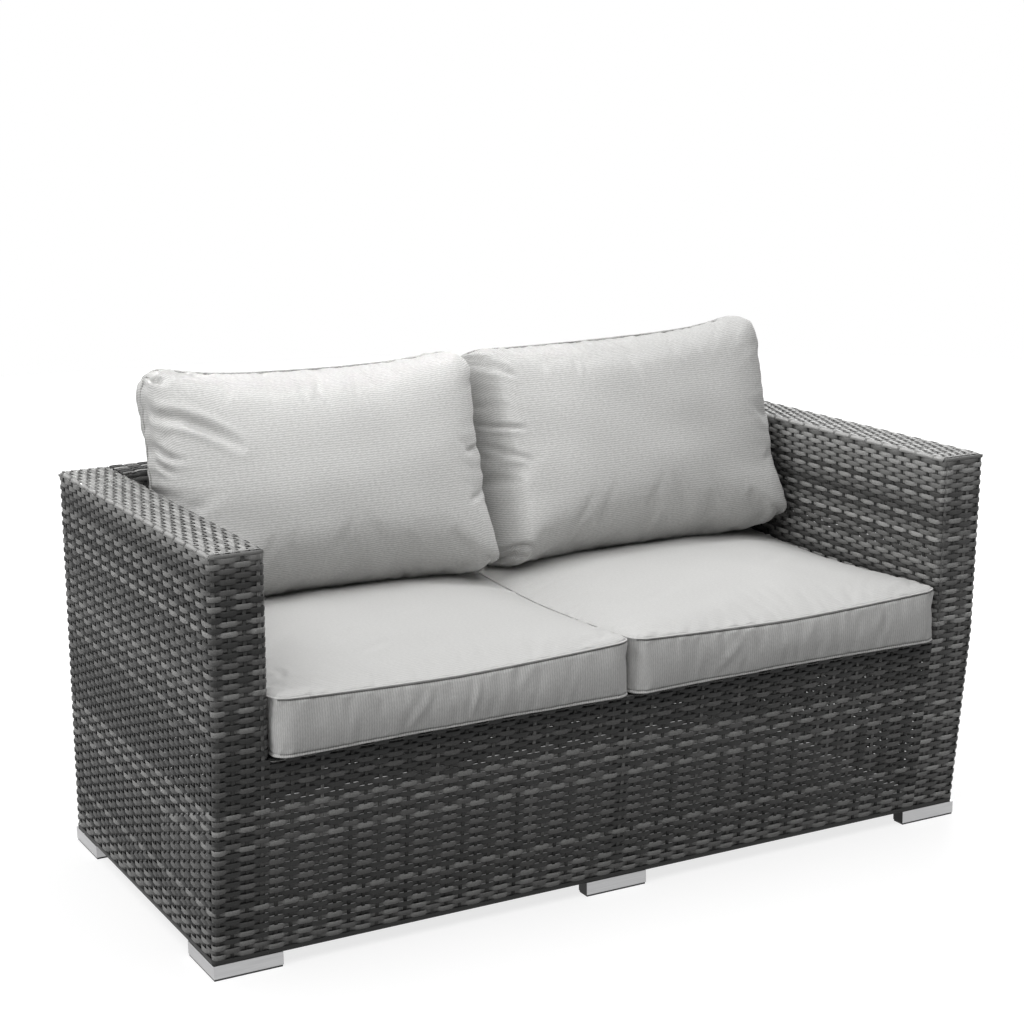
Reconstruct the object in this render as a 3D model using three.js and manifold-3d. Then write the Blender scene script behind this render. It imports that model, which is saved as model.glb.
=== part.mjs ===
import * as THREE from 'three';
import { mergeVertices } from 'three/addons/utils/BufferGeometryUtils.js';
import Module from 'manifold-3d';

// Two-seat woven garden sofa on metal feet, with two seat pads and two back pads.
// Millimetres, +Z up, front towards -Y. Heights are measured from the floor.

// Woven body
const WIDTH = 1450;
const DEPTH = 745; // at the top of the arms
const HEIGHT = 692;
const ARM_WIDTH = 92;
const BACK_DEPTH = 92;
const SEAT_HEIGHT = 358; // top of the woven seat deck
const BEND_HEIGHT = 364; // where the front legs turn in
const FRONT_LEAN = 15; // how far the front falls back from the top to the bend
const TOE_IN = 59; // how far it has fallen back at the feet
const REAR_FLARE = 20; // how far the rear runs out towards the feet
const SKIN = 5; // thickness of the weave
const SHOULDER = 9; // radius of the rolled top edges
const CORNER = 10; // radius of the upright corners
const ARC_STEPS = 3;

// Rows of strand, which show as ribs on the outer panels
const ROW_HEIGHT = 8.1;
const ROW_RELIEF = 1.6; // from a row's crest to the groove between two rows

// Tube frame inside the weave
const TUBE = 22;
const TUBE_WALL = 1.5;
const SEAT_BAR_COUNT = 5;
const FIT = 0.3; // play between pieces that touch
const LEAST_RADIUS = 0.3; // of a corner that has been inset to nothing

// Feet
const FOOT_HEIGHT = 25;
const FOOT_SECTION = 27;
const FOOT_LEG = 116;
const FOOT_WALL = 2;
const GLIDE_HEIGHT = 3;
const GLIDE_MARGIN = 1; // how far the glide stays inside the foot's outline
const MIDDLE_FOOT_LENGTH = 117;

// Seat pads
const PAD_GAP = 2; // from each pad to the arm, the back and its neighbour
const SEAT_PAD_FRONT_OFFSET = 2.5; // how far the pads stand proud of the arm fronts
const SEAT_PAD_BOXING_HEIGHT = 90; // height of the side walls, seam to seam
const SEAT_PAD_CROWN_HEIGHT = 34;
const SEAT_PAD_CORNER_RADIUS = 34;
const SEAT_PAD_DRAW_DEPTH = 9; // how far the seams pull in between the corners
const SEAT_PAD_PUFF_DEPTH = 6; // how far the side walls fill out again halfway up
const SEAT_PAD_EDGE_HEIGHT = 4; // rounding of the lower seam

// Back pads
const BACK_PAD_HEIGHT = 412;
const BACK_PAD_THICKNESS = 134; // at the rim, where the corners are tucked
const BACK_PAD_CROWN_HEIGHT = 30;
const BACK_PAD_CORNER_RADIUS = 46;
const BACK_PAD_DRAW_DEPTH = 10;
const BACK_PAD_LEAN = 8; // degrees
const REST_GAP = 0.4; // extra play where a back pad lies on a seat pad's crown

// How the pads' forms are spread, as shares of their half width, crown or thickness
const PAD_SIDE_STEPS = 8;
const PAD_CORNER_STEPS = 4;
const CROWN_POWER = 2.2;
const CROWN_RING_SHARES = [0.96, 0.88, 0.76, 0.6, 0.4, 0.16];
const FLAT_RING_SHARES = [0.3, 0.7, 0.95];
const RIM_RING_SHARES = [0.3, 0.6, 0.8, 0.93, 0.985]; // of the pad's outline, from its middle out
const RIM_WIDTH_SHARE = 0.16;
const RIM_POWER = 2.3;

const finish = (color, roughness, metalness) => () => (
  new THREE.MeshStandardMaterial({ color, roughness, metalness })
);
const strandGrey = finish(0x5c5c5a, 0.6, 0);
const frameBlack = finish(0x2a2b2c, 0.5, 0.6);
const footSilver = finish(0xb9bbbd, 0.35, 0.9);
const glideBlack = finish(0x1e1e1f, 0.8, 0);
const padGrey = finish(0xc9c9c6, 0.95, 0);

const wasm = await Module();
wasm.setup();

const sofa = new THREE.Group();

function add(name, geometry, material) {
  const mesh = new THREE.Mesh(geometry, material);
  mesh.name = name;
  sofa.add(mesh);
  return mesh;
}

// The side view of the body: its front and rear line at a height

function frontAt(z) {
  if (z >= BEND_HEIGHT) {
    return -DEPTH / 2 + (FRONT_LEAN * (HEIGHT - z)) / (HEIGHT - BEND_HEIGHT);
  }
  const share = (BEND_HEIGHT - z) / (BEND_HEIGHT - FOOT_HEIGHT);
  return -DEPTH / 2 + FRONT_LEAN + (TOE_IN - FRONT_LEAN) * share;
}

function rearAt(z) {
  return DEPTH / 2 + (REAR_FLARE * (HEIGHT - z)) / (HEIGHT - FOOT_HEIGHT);
}

const behindFront = (offset) => (z) => frontAt(z) + offset;
const beforeRear = (offset) => (z) => rearAt(z) - offset;

// Levels at which an upright piece needs a section: its ends, and the bend if it lies between
function levelsBetween(low, high) {
  return low < BEND_HEIGHT && BEND_HEIGHT < high ? [low, BEND_HEIGHT, high] : [low, high];
}

// How deep the grooves between the woven rows are at a height: nothing at the middle of a row
function grooveAt(z) {
  const rows = (z - FOOT_HEIGHT - FIT) / ROW_HEIGHT;
  return ROW_RELIEF * Math.abs(2 * (rows - Math.floor(rows)) - 1);
}

// Levels of the crests and grooves between two heights, with the levels that any panel needs
function rowLevels(low, high) {
  const count = Math.ceil((2 * (high - low)) / ROW_HEIGHT);
  const first = Math.ceil((2 * (low - FOOT_HEIGHT - FIT)) / ROW_HEIGHT);
  const rows = Array.from({ length: count }, (_, i) => FOOT_HEIGHT + FIT + ((first + i) * ROW_HEIGHT) / 2);
  const inside = rows.filter((level) => level > low + FIT && level < high - FIT);
  return [...levelsBetween(low, high), ...inside].sort((a, b) => a - b);
}

const at = (bound, z) => (typeof bound === 'function' ? bound(z) : bound);

// Joins rings of equal point count into a closed body. A looped body's last ring joins its
// first, as in a tube with open ends; any other gets a cap at both ends.
function skin(rings, looped = false) {
  const count = rings[0].length;
  const faces = [];
  const spans = looped ? rings.length : rings.length - 1;
  for (let r = 0; r < spans; r += 1) {
    const here = r * count;
    const next = ((r + 1) % rings.length) * count;
    for (let i = 0; i < count; i += 1) {
      const j = (i + 1) % count;
      faces.push([here + i, here + j, next + j], [here + i, next + j, next + i]);
    }
  }
  if (!looped) {
    const last = (rings.length - 1) * count;
    for (const [a, b, c] of capFaces(rings[0])) faces.push([c, b, a]);
    for (const [a, b, c] of capFaces(rings[rings.length - 1])) faces.push([last + a, last + b, last + c]);
  }
  const points = rings.flat();
  const volume = faces.reduce((sum, [a, b, c]) => sum + tetrahedron(points[a], points[b], points[c]), 0);
  const outward = volume > 0 ? faces : faces.map(([a, b, c]) => [a, c, b]);
  const geometry = new THREE.BufferGeometry();
  geometry.setAttribute('position', new THREE.Float32BufferAttribute(points.flat(), 3));
  geometry.setIndex(outward.flat());
  geometry.computeVertexNormals();
  return geometry;
}

function tetrahedron([ax, ay, az], [bx, by, bz], [cx, cy, cz]) {
  return (ax * (by * cz - bz * cy) + ay * (bz * cx - bx * cz) + az * (bx * cy - by * cx)) / 6;
}

// Triangles of a flat ring, turned the way the ring itself runs
function capFaces(ring) {
  const normal = ring.reduce((sum, [x, y, z], i) => {
    const [u, v, w] = ring[(i + 1) % ring.length];
    return [sum[0] + y * w - z * v, sum[1] + z * u - x * w, sum[2] + x * v - y * u];
  }, [0, 0, 0]);
  const size = normal.map(Math.abs);
  const drop = size.indexOf(Math.max(...size));
  const [first, second] = [(drop + 1) % 3, (drop + 2) % 3];
  const flat = ring.map((point) => new THREE.Vector2(point[first], point[second]));
  const faces = THREE.ShapeUtils.triangulateShape(flat, []);
  const turned = THREE.ShapeUtils.isClockWise(flat);
  return faces.map(([a, b, c]) => {
    const area = (flat[b].x - flat[a].x) * (flat[c].y - flat[a].y)
      - (flat[c].x - flat[a].x) * (flat[b].y - flat[a].y);
    return area > 0 === !turned ? [a, b, c] : [a, c, b];
  });
}

// Section of a square-cornered bar at a station along x, y or z, inset by the wall on its sides
function barRing(along, station, { x, y, z }, inset) {
  const [x0, x1] = [at(x[0], station) + inset, at(x[1], station) - inset];
  const [z0, z1] = [z[0] + inset, z[1] - inset];
  if (along === 'z') {
    const [y0, y1] = [at(y[0], station) + inset, at(y[1], station) - inset];
    return [[x0, y0, station], [x1, y0, station], [x1, y1, station], [x0, y1, station]];
  }
  if (along === 'x') {
    const corner = (side, height) => [x[station], at(y[side], height) + (side ? -inset : inset), height];
    return [corner(0, z0), corner(1, z0), corner(1, z1), corner(0, z1)];
  }
  const corner = (across, height) => [across, at(y[station], height), height];
  return [corner(x0, z0), corner(x1, z0), corner(x1, z1), corner(x0, z1)];
}

const stationsOf = (along, span) => (along === 'z' ? levelsBetween(...span.z) : [0, 1]);

// Hollow bar, open at both ends
function tube(along, span) {
  const stations = stationsOf(along, span);
  const outer = stations.map((station) => barRing(along, station, span, 0));
  const inner = stations.toReversed().map((station) => barRing(along, station, span, TUBE_WALL));
  return skin([...outer, ...inner], true);
}

// Flat woven panel
function panel(span) {
  return skin(stationsOf('z', span).map((level) => barRing('z', level, span, 0)));
}

// Woven panel with a section at each crest and groove of its rows
function ribbedPanel(span) {
  return skin(rowLevels(...span.z).map((level) => barRing('z', level, span, 0)));
}

const quarter = (radius, step) => {
  const angle = (Math.PI / 2) * (step / ARC_STEPS);
  return [radius * (1 - Math.cos(angle)), radius * (1 - Math.sin(angle))];
};

// Upright woven edge strip with two rolled corners, open towards the inside of the body.
// face gives the outer line at a height, and inward is the side on which the body lies.
function edgeStrip([x0, x1], face, inward, [low, high]) {
  const steps = Array.from({ length: ARC_STEPS + 1 }, (_, i) => i);
  const outer = [
    ...steps.map((i) => quarter(CORNER, i)).map(([across, deep]) => [x0 + across, deep]),
    ...steps.toReversed().map((i) => quarter(CORNER, i)).map(([across, deep]) => [x1 - across, deep]),
  ];
  const inner = [[x1 - SKIN, CORNER], [x1 - SKIN, SKIN], [x0 + SKIN, SKIN], [x0 + SKIN, CORNER]];
  const section = [...outer, ...inner];
  const ring = (level) => section.map(([across, deep]) => [across, face(level) + inward * deep, level]);
  return skin(levelsBetween(low, high).map(ring));
}

// Rounded rectangle in plan, inset evenly from the given sides
function planRing([x0, x1], [y0, y1], inset, radius, level) {
  const reach = Math.max(radius - inset, LEAST_RADIUS);
  const corners = [
    [x1 - inset - reach, y1 - inset - reach, 0],
    [x0 + inset + reach, y1 - inset - reach, 1],
    [x0 + inset + reach, y0 + inset + reach, 2],
    [x1 - inset - reach, y0 + inset + reach, 3],
  ];
  return corners.flatMap(([cx, cy, turn]) => Array.from({ length: ARC_STEPS + 1 }, (_, i) => {
    const angle = (Math.PI / 2) * (turn + i / ARC_STEPS);
    return [cx + reach * Math.cos(angle), cy + reach * Math.sin(angle), level];
  }));
}

// Woven top of an arm or of the back: a shallow lid with rolled edges
function lid(xs, ys) {
  const low = HEIGHT - SHOULDER;
  const under = [HEIGHT - SKIN, low].map((level) => planRing(xs, ys, SKIN, SKIN + LEAST_RADIUS, level));
  const over = Array.from({ length: ARC_STEPS + 1 }, (_, i) => {
    const angle = (Math.PI / 2) * (i / ARC_STEPS);
    return planRing(xs, ys, SHOULDER * (1 - Math.cos(angle)), CORNER, low + SHOULDER * Math.sin(angle));
  });
  return skin([...under, ...over]);
}

// Heights and lines that several pieces share
const footTop = FOOT_HEIGHT + FIT;
const lowRail = [footTop, footTop + TUBE];
const seatRail = [SEAT_HEIGHT - SKIN - FIT - TUBE, SEAT_HEIGHT - SKIN - FIT];
const topRail = [HEIGHT - SKIN - FIT - TUBE, HEIGHT - SKIN - FIT];
const panelTop = HEIGHT - SHOULDER - FIT;
const lining = SKIN + FIT; // from the outside of the weave to the tubes
const bayHalf = WIDTH / 2 - ARM_WIDTH - FIT; // from the middle to the bay's side, between the arms
const bay = [-bayHalf, bayHalf];
const backFace = DEPTH / 2 - BACK_DEPTH;
const frontTube = [behindFront(lining), behindFront(lining + TUBE)];
const rearTube = [beforeRear(lining + TUBE), beforeRear(lining)];
const behindFrontTube = behindFront(lining + TUBE + FIT);
const beforeRearTube = beforeRear(lining + TUBE + FIT);
const panelDepth = [behindFront(CORNER + FIT), beforeRear(CORNER + FIT)];

// Arms

function arm(side, sign) {
  const outerFace = (sign * WIDTH) / 2;
  const innerFace = outerFace - sign * ARM_WIDTH;
  const ordered = (a, b) => [Math.min(a, b), Math.max(a, b)];
  const across = ordered(innerFace, outerFace);
  const fromOuter = (near, far) => ordered(outerFace - sign * near, outerFace - sign * far);
  const fromInner = (near, far) => ordered(innerFace + sign * near, innerFace + sign * far);
  const wholeTube = ordered(innerFace + sign * lining, outerFace - sign * lining);
  const post = { x: wholeTube, z: [footTop, topRail[0] - FIT] };
  const between = [behindFrontTube, beforeRearTube];

  add(`${side}_arm_front_leg`, tube('z', { ...post, y: frontTube }), frameBlack());
  add(`${side}_arm_rear_leg`, tube('z', { ...post, y: rearTube }), frameBlack());
  add(`${side}_arm_top_rail`, tube('y', {
    x: wholeTube, y: [behindFront(lining), beforeRear(lining)], z: topRail,
  }), frameBlack());
  const outerTube = fromOuter(lining, lining + TUBE);
  add(`${side}_arm_bottom_rail`, tube('y', { x: outerTube, y: between, z: lowRail }), frameBlack());
  add(`${side}_arm_middle_post`, tube('z', {
    x: outerTube, y: [-TUBE / 2, TUBE / 2], z: [lowRail[1] + FIT, topRail[0] - FIT],
  }), frameBlack());
  add(`${side}_arm_seat_rail`, tube('y', {
    x: fromInner(lining, lining + TUBE), y: between, z: seatRail,
  }), frameBlack());

  const ribbedFace = (z) => outerFace - sign * grooveAt(z);
  const backOfWeave = outerFace - sign * SKIN;
  add(`${side}_arm_outer_weave`, ribbedPanel({
    x: sign < 0 ? [ribbedFace, backOfWeave] : [backOfWeave, ribbedFace],
    y: panelDepth,
    z: [footTop, panelTop],
  }), strandGrey());
  add(`${side}_arm_inner_weave`, panel({
    x: fromInner(0, SKIN), y: panelDepth, z: [seatRail[0], panelTop],
  }), strandGrey());
  add(`${side}_arm_front_weave`, edgeStrip(across, frontAt, 1, [footTop, panelTop]), strandGrey());
  add(`${side}_arm_rear_weave`, edgeStrip(across, rearAt, -1, [footTop, panelTop]), strandGrey());
  add(`${side}_arm_top_weave`, lid(across, [frontAt(HEIGHT), rearAt(HEIGHT)]), strandGrey());
}

// Back, between the arms

function back() {
  const postTube = (middle) => ({
    x: [middle - TUBE / 2, middle + TUBE / 2], y: rearTube, z: [lowRail[1] + FIT, topRail[0] - FIT],
  });
  add('back_top_rail', tube('x', {
    x: [-bayHalf + lining, bayHalf - lining], y: [backFace + lining, beforeRear(lining)], z: topRail,
  }), frameBlack());
  add('back_left_post', tube('z', postTube(-bayHalf + TUBE / 2)), frameBlack());
  add('back_middle_post', tube('z', postTube(0)), frameBlack());
  add('back_right_post', tube('z', postTube(bayHalf - TUBE / 2)), frameBlack());
  add('rear_bottom_rail', tube('x', { x: bay, y: rearTube, z: lowRail }), frameBlack());

  add('back_outer_weave', ribbedPanel({
    x: bay, y: [beforeRear(SKIN), (z) => rearAt(z) - grooveAt(z)], z: [footTop, panelTop],
  }), strandGrey());
  add('back_inner_weave', panel({
    x: bay, y: [backFace, backFace + SKIN], z: [SEAT_HEIGHT + FIT, panelTop],
  }), strandGrey());
  add('back_top_weave', lid(bay, [backFace, rearAt(HEIGHT)]), strandGrey());
}

// Seat, between the arms

function seat() {
  const rearRailFront = backFace + lining;
  add('front_seat_rail', tube('x', { x: bay, y: frontTube, z: seatRail }), frameBlack());
  add('front_bottom_rail', tube('x', { x: bay, y: frontTube, z: lowRail }), frameBlack());
  add('front_middle_post', tube('z', {
    x: [-TUBE / 2, TUBE / 2], y: frontTube, z: [lowRail[1] + FIT, seatRail[0] - FIT],
  }), frameBlack());
  add('rear_seat_rail', tube('x', {
    x: bay, y: [rearRailFront, beforeRearTube], z: seatRail,
  }), frameBlack());
  const barSpacing = (2 * bayHalf) / (SEAT_BAR_COUNT + 1);
  for (let i = 1; i <= SEAT_BAR_COUNT; i += 1) {
    const middle = -bayHalf + i * barSpacing;
    add(`seat_bar_${i}`, tube('y', {
      x: [middle - TUBE / 2, middle + TUBE / 2], y: [behindFrontTube, rearRailFront - FIT], z: seatRail,
    }), frameBlack());
  }
  add('front_apron_weave', ribbedPanel({
    x: bay, y: [(z) => frontAt(z) + grooveAt(z), behindFront(SKIN)], z: [footTop, SEAT_HEIGHT - SKIN - FIT],
  }), strandGrey());
  add('seat_deck_weave', panel({
    x: bay, y: [frontAt, rearRailFront + TUBE], z: [SEAT_HEIGHT - SKIN, SEAT_HEIGHT],
  }), strandGrey());
}

// Feet: metal shoes that are open below, each on a plastic glide

function manifoldOf(geometry) {
  const bare = geometry.clone();
  bare.deleteAttribute('normal');
  bare.deleteAttribute('uv');
  const merged = mergeVertices(bare);
  return new wasm.Manifold(new wasm.Mesh({
    numProp: 3,
    vertProperties: Float32Array.from(merged.attributes.position.array),
    triVerts: Uint32Array.from(merged.index.array),
  }));
}

function cut(body, tool) {
  const { vertProperties, triVerts } = manifoldOf(body).subtract(manifoldOf(tool)).getMesh();
  const geometry = new THREE.BufferGeometry();
  geometry.setAttribute('position', new THREE.Float32BufferAttribute(vertProperties, 3));
  geometry.setIndex(Array.from(triVerts));
  geometry.computeVertexNormals();
  return geometry;
}

// Plan of a foot whose outer corner is at the origin, inset evenly. legY of zero gives a bar.
function footPlan(legX, legY, inset) {
  const near = inset;
  const thick = FOOT_SECTION - inset;
  const farX = legX - inset;
  const farY = Math.max(legY, FOOT_SECTION) - inset;
  const points = legY > 0
    ? [[near, near], [farX, near], [farX, thick], [thick, thick], [thick, farY], [near, farY]]
    : [[near, near], [farX, near], [farX, thick], [near, thick]];
  return new THREE.Shape(points.map(([x, y]) => new THREE.Vector2(x, y)));
}

function slab(shape, low, high) {
  const geometry = new THREE.ExtrudeGeometry(shape, { depth: high - low, bevelEnabled: false });
  return geometry.translate(0, 0, low);
}

function foot(name, legX, legY, place) {
  const ceiling = FOOT_HEIGHT - FOOT_WALL;
  const base = GLIDE_HEIGHT + FIT;
  const outside = slab(footPlan(legX, legY, 0), base, FOOT_HEIGHT);
  const hollow = slab(footPlan(legX, legY, FOOT_WALL), base - FOOT_WALL, ceiling);
  add(`${name}_foot`, place(cut(outside, hollow)), footSilver());
  add(`${name}_glide`, place(slab(footPlan(legX, legY, GLIDE_MARGIN), 0, GLIDE_HEIGHT)), glideBlack());
}

// Mirrors a geometry across x or y and keeps its faces pointing out
function mirrored(geometry, sx, sy) {
  geometry.scale(sx, sy, 1);
  if (sx * sy < 0) {
    const flat = geometry.index ? geometry.toNonIndexed() : geometry;
    const { array } = flat.attributes.position;
    for (let i = 0; i < array.length; i += 9) {
      const second = array.slice(i + 3, i + 6);
      array.copyWithin(i + 3, i + 6, i + 9);
      array.set(second, i + 6);
    }
    flat.computeVertexNormals();
    return flat;
  }
  return geometry;
}

function feet() {
  const frontLine = frontAt(FOOT_HEIGHT);
  const rearLine = rearAt(FOOT_HEIGHT);
  for (const [side, sign] of [['left', -1], ['right', 1]]) {
    const corner = (sign * WIDTH) / 2;
    const inFront = (shape) => mirrored(shape, -sign, 1).translate(corner, frontLine, 0);
    const atRear = (shape) => mirrored(shape, -sign, -1).translate(corner, rearLine, 0);
    foot(`front_${side}`, FOOT_LEG, FOOT_LEG, inFront);
    foot(`rear_${side}`, FOOT_LEG, FOOT_LEG, atRear);
  }
  const middle = -MIDDLE_FOOT_LENGTH / 2;
  foot('front_middle', MIDDLE_FOOT_LENGTH, 0, (shape) => shape.translate(middle, frontLine, 0));
  foot('rear_middle', MIDDLE_FOOT_LENGTH, 0, (shape) => shape.translate(middle, rearLine - FOOT_SECTION, 0));
}

// Pads

// Outline of a pad about its own middle: rounded corners, and sides that pull in between them
function padOutline(halfX, halfY, corner, draw) {
  const points = [];
  const turns = [[1, 1], [-1, 1], [-1, -1], [1, -1]];
  turns.forEach(([sx, sy], turn) => {
    for (let i = 0; i <= PAD_CORNER_STEPS; i += 1) {
      const angle = (Math.PI / 2) * (turn + i / PAD_CORNER_STEPS);
      points.push([
        sx * (halfX - corner) + corner * Math.cos(angle),
        sy * (halfY - corner) + corner * Math.sin(angle),
      ]);
    }
    const alongX = turn % 2 === 0;
    const reach = alongX ? halfX - corner : halfY - corner;
    for (let i = 1; i < PAD_SIDE_STEPS; i += 1) {
      const share = 1 - (2 * i) / PAD_SIDE_STEPS;
      const pull = draw * (1 - share * share);
      points.push(alongX
        ? [sx * share * reach, sy * (halfY - pull)]
        : [sx * (halfX - pull), sy * share * reach]);
    }
  });
  return points;
}

// An outline drawn in towards the middle, at a height that may vary with the place
const shrunk = (outline, share, heightAt) => outline.map(([x, y]) => {
  const [u, v] = [x * share, y * share];
  return [u, v, typeof heightAt === 'function' ? heightAt(u, v) : heightAt];
});

// Swelling of a pad's face, from 0 along its seams to 1 in its middle
function crownAt(x, y, reachX, reachY) {
  const fall = (distance, reach) => 1 - Math.min(Math.abs(distance) / reach, 1) ** CROWN_POWER;
  return fall(x, reachX) * fall(y, reachY);
}

const seatPadDepth = [-DEPTH / 2 - SEAT_PAD_FRONT_OFFSET, backFace - PAD_GAP];
const seatPadMiddleY = (seatPadDepth[0] + seatPadDepth[1]) / 2;
const seatPadWidth = [PAD_GAP / 2, bayHalf - PAD_GAP]; // of the right-hand pad
const seatPadHalf = [seatPadWidth, seatPadDepth].map(([low, high]) => (high - low) / 2);
const padMiddleX = (seatPadWidth[0] + seatPadWidth[1]) / 2;
const seatPadLow = SEAT_HEIGHT + FIT;

// Boxed seat pad: flat below, side walls that fill out between two drawn-in seams, crowned top
function seatPad() {
  const [halfX, halfY] = seatPadHalf;
  const seam = padOutline(halfX, halfY, SEAT_PAD_CORNER_RADIUS, SEAT_PAD_DRAW_DEPTH);
  const wall = padOutline(halfX, halfY, SEAT_PAD_CORNER_RADIUS, SEAT_PAD_DRAW_DEPTH - SEAT_PAD_PUFF_DEPTH);
  const rings = [
    ...FLAT_RING_SHARES.map((share) => shrunk(seam, share, 0)),
    shrunk(seam, 1, SEAT_PAD_EDGE_HEIGHT),
    shrunk(wall, 1, SEAT_PAD_BOXING_HEIGHT / 2),
    shrunk(seam, 1, SEAT_PAD_BOXING_HEIGHT),
    ...CROWN_RING_SHARES.map((share) => shrunk(seam, share, seatPadTop)),
  ];
  return skin(rings);
}

// Height of a seat pad's top over its underside, at a place given from the pad's own middle
function seatPadTop(x, y) {
  const [halfX, halfY] = seatPadHalf;
  if (Math.abs(x) > halfX || Math.abs(y) > halfY) return -Infinity;
  const [reachX, reachY] = seatPadHalf.map((half) => half - SEAT_PAD_DRAW_DEPTH);
  return SEAT_PAD_BOXING_HEIGHT + SEAT_PAD_CROWN_HEIGHT * crownAt(x, y, reachX, reachY);
}

// Back pad, standing on its lower edge: one seam round the rim, a crowned front and a flat rear
function backPad() {
  const [halfX, halfZ] = [seatPadHalf[0], BACK_PAD_HEIGHT / 2];
  const seam = padOutline(halfX, halfZ, BACK_PAD_CORNER_RADIUS, BACK_PAD_DRAW_DEPTH);
  const half = BACK_PAD_THICKNESS / 2;
  const [reachX, reachZ] = [halfX, halfZ].map((side) => side - BACK_PAD_DRAW_DEPTH);
  const swell = (x, z) => BACK_PAD_CROWN_HEIGHT * crownAt(x, z, reachX, reachZ);
  const rim = (share) => {
    const inside = Math.min((1 - share) / RIM_WIDTH_SHARE, 1);
    return (1 - (1 - inside) ** RIM_POWER) ** (1 / RIM_POWER);
  };
  const rear = RIM_RING_SHARES.map((share) => shrunk(seam, share, half * rim(share)));
  const front = RIM_RING_SHARES.toReversed()
    .map((share) => shrunk(seam, share, (x, z) => -half * rim(share) - swell(x, z)));
  const standing = [...rear, shrunk(seam, 1, 0), ...front]
    .map((ring) => ring.map(([x, y, deep]) => [x, deep, y + BACK_PAD_HEIGHT / 2]));
  return skin(standing).rotateX(-THREE.MathUtils.degToRad(BACK_PAD_LEAN));
}

// Moves a leaning back pad until its rear meets the top of the back and its foot the seat pad
function seatBackPad(geometry) {
  const lean = THREE.MathUtils.degToRad(BACK_PAD_LEAN);
  const half = BACK_PAD_THICKNESS / 2;
  const estimate = seatPadLow + SEAT_PAD_BOXING_HEIGHT + SEAT_PAD_CROWN_HEIGHT / 2;
  const upRear = (HEIGHT - estimate + half * Math.sin(lean)) / Math.cos(lean);
  const rearLine = backFace - FIT - upRear * Math.sin(lean) - half * Math.cos(lean);
  geometry.translate(0, rearLine, 0);
  const { position } = geometry.attributes;
  let lift = -Infinity;
  for (let i = 0; i < position.count; i += 1) {
    const top = seatPadTop(position.getX(i), position.getY(i) - seatPadMiddleY);
    lift = Math.max(lift, seatPadLow + top - position.getZ(i));
  }
  return geometry.translate(0, 0, lift + FIT + REST_GAP);
}

function pads() {
  for (const [side, sign] of [['left', -1], ['right', 1]]) {
    const middle = sign * padMiddleX;
    add(`${side}_seat_cushion`, seatPad().translate(middle, seatPadMiddleY, seatPadLow), padGrey());
    add(`${side}_back_cushion`, seatBackPad(backPad()).translate(middle, 0, 0), padGrey());
  }
}

arm('left', -1);
arm('right', 1);
back();
seat();
feet();
pads();

// The origin is under the middle of the whole sofa, on the floor
const middle = new THREE.Box3().setFromObject(sofa).getCenter(new THREE.Vector3());
sofa.position.set(-middle.x, -middle.y, 0);
sofa.updateMatrixWorld(true);

export default sofa;
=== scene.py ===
import collections
import math
import random

import bmesh
import bpy
import numpy as np
from mathutils import Matrix, Vector


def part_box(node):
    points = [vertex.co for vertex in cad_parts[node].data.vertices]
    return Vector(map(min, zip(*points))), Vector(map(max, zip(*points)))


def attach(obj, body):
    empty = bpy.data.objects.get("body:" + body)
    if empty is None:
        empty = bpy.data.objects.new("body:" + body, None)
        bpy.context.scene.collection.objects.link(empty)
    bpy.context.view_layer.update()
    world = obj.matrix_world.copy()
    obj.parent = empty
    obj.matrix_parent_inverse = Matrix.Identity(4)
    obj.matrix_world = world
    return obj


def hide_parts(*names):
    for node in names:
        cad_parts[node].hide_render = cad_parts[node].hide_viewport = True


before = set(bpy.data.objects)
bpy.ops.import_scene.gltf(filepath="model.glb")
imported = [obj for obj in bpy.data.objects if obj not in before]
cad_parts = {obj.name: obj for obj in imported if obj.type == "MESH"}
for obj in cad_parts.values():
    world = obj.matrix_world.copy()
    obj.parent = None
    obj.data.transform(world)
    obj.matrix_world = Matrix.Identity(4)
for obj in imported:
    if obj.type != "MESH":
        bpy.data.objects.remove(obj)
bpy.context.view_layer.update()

MM = 0.001
TINY = 1e-6

# Woven body: its lines, taken from the frame's boxes, and the two sizes of the leaning front
arm_low, arm_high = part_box("left_arm_top_weave")
HALF_WIDTH = -arm_low.x
ARM_INNER = -arm_high.x
FRONT_TOP, REAR_TOP, TOP = arm_low.y, arm_high.y, arm_high.z
FOOT_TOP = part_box("front_left_foot")[1].z
FRONT_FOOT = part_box("front_left_foot")[0].y
REAR_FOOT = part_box("rear_left_foot")[1].y
WEAVE_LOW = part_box("left_arm_outer_weave")[0].z
SEAT_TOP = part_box("seat_deck_weave")[1].z
SEAT_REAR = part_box("seat_deck_weave")[1].y
BACK_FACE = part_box("back_inner_weave")[0].y
BEND_HEIGHT = 364 * MM
FRONT_LEAN = 15 * MM
SKIN = 5 * MM
MID = SKIN / 2
CORNER = 10 * MM
SHOULDER = 9 * MM
SHOULDER_FOOT = TOP - SHOULDER

# Weave
ROW_COUNT = 81
STAKES_ROUND_ARM = 38
STAKES_BETWEEN_ARMS = 51
FRONT_STAKES = 4
TOP_ROW_COUNT = 12
DECK_ROW_COUNT = 82
# Where a strand has its rings between two stakes, and how square its waves are
RING_PLACES = (0.08, 0.28, 0.72, 0.92)
LEAST_RING_GAP = 0.06
SQUARENESS = 0.3
STRAND_HALF = 4.25 * MM
STRAND_SPREAD = 0.2 * MM
STRAND_WAVE = 1.7 * MM
STRAND_SINK = 0.1 * MM
BINDING_PROUD = 1.4 * MM
STAKE_HALF = 3.1 * MM
# How fast a strand's streaks run along it, and how far they shift from one strand to the next
STREAK_PACE = 60
STREAK_SHIFT = 0.37
TONES = [0.19, 0.43, 0.62, 0.87]
TONE_JITTER = 0.05
STAKE_JITTER = 0.04

rng = random.Random(20)


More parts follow.
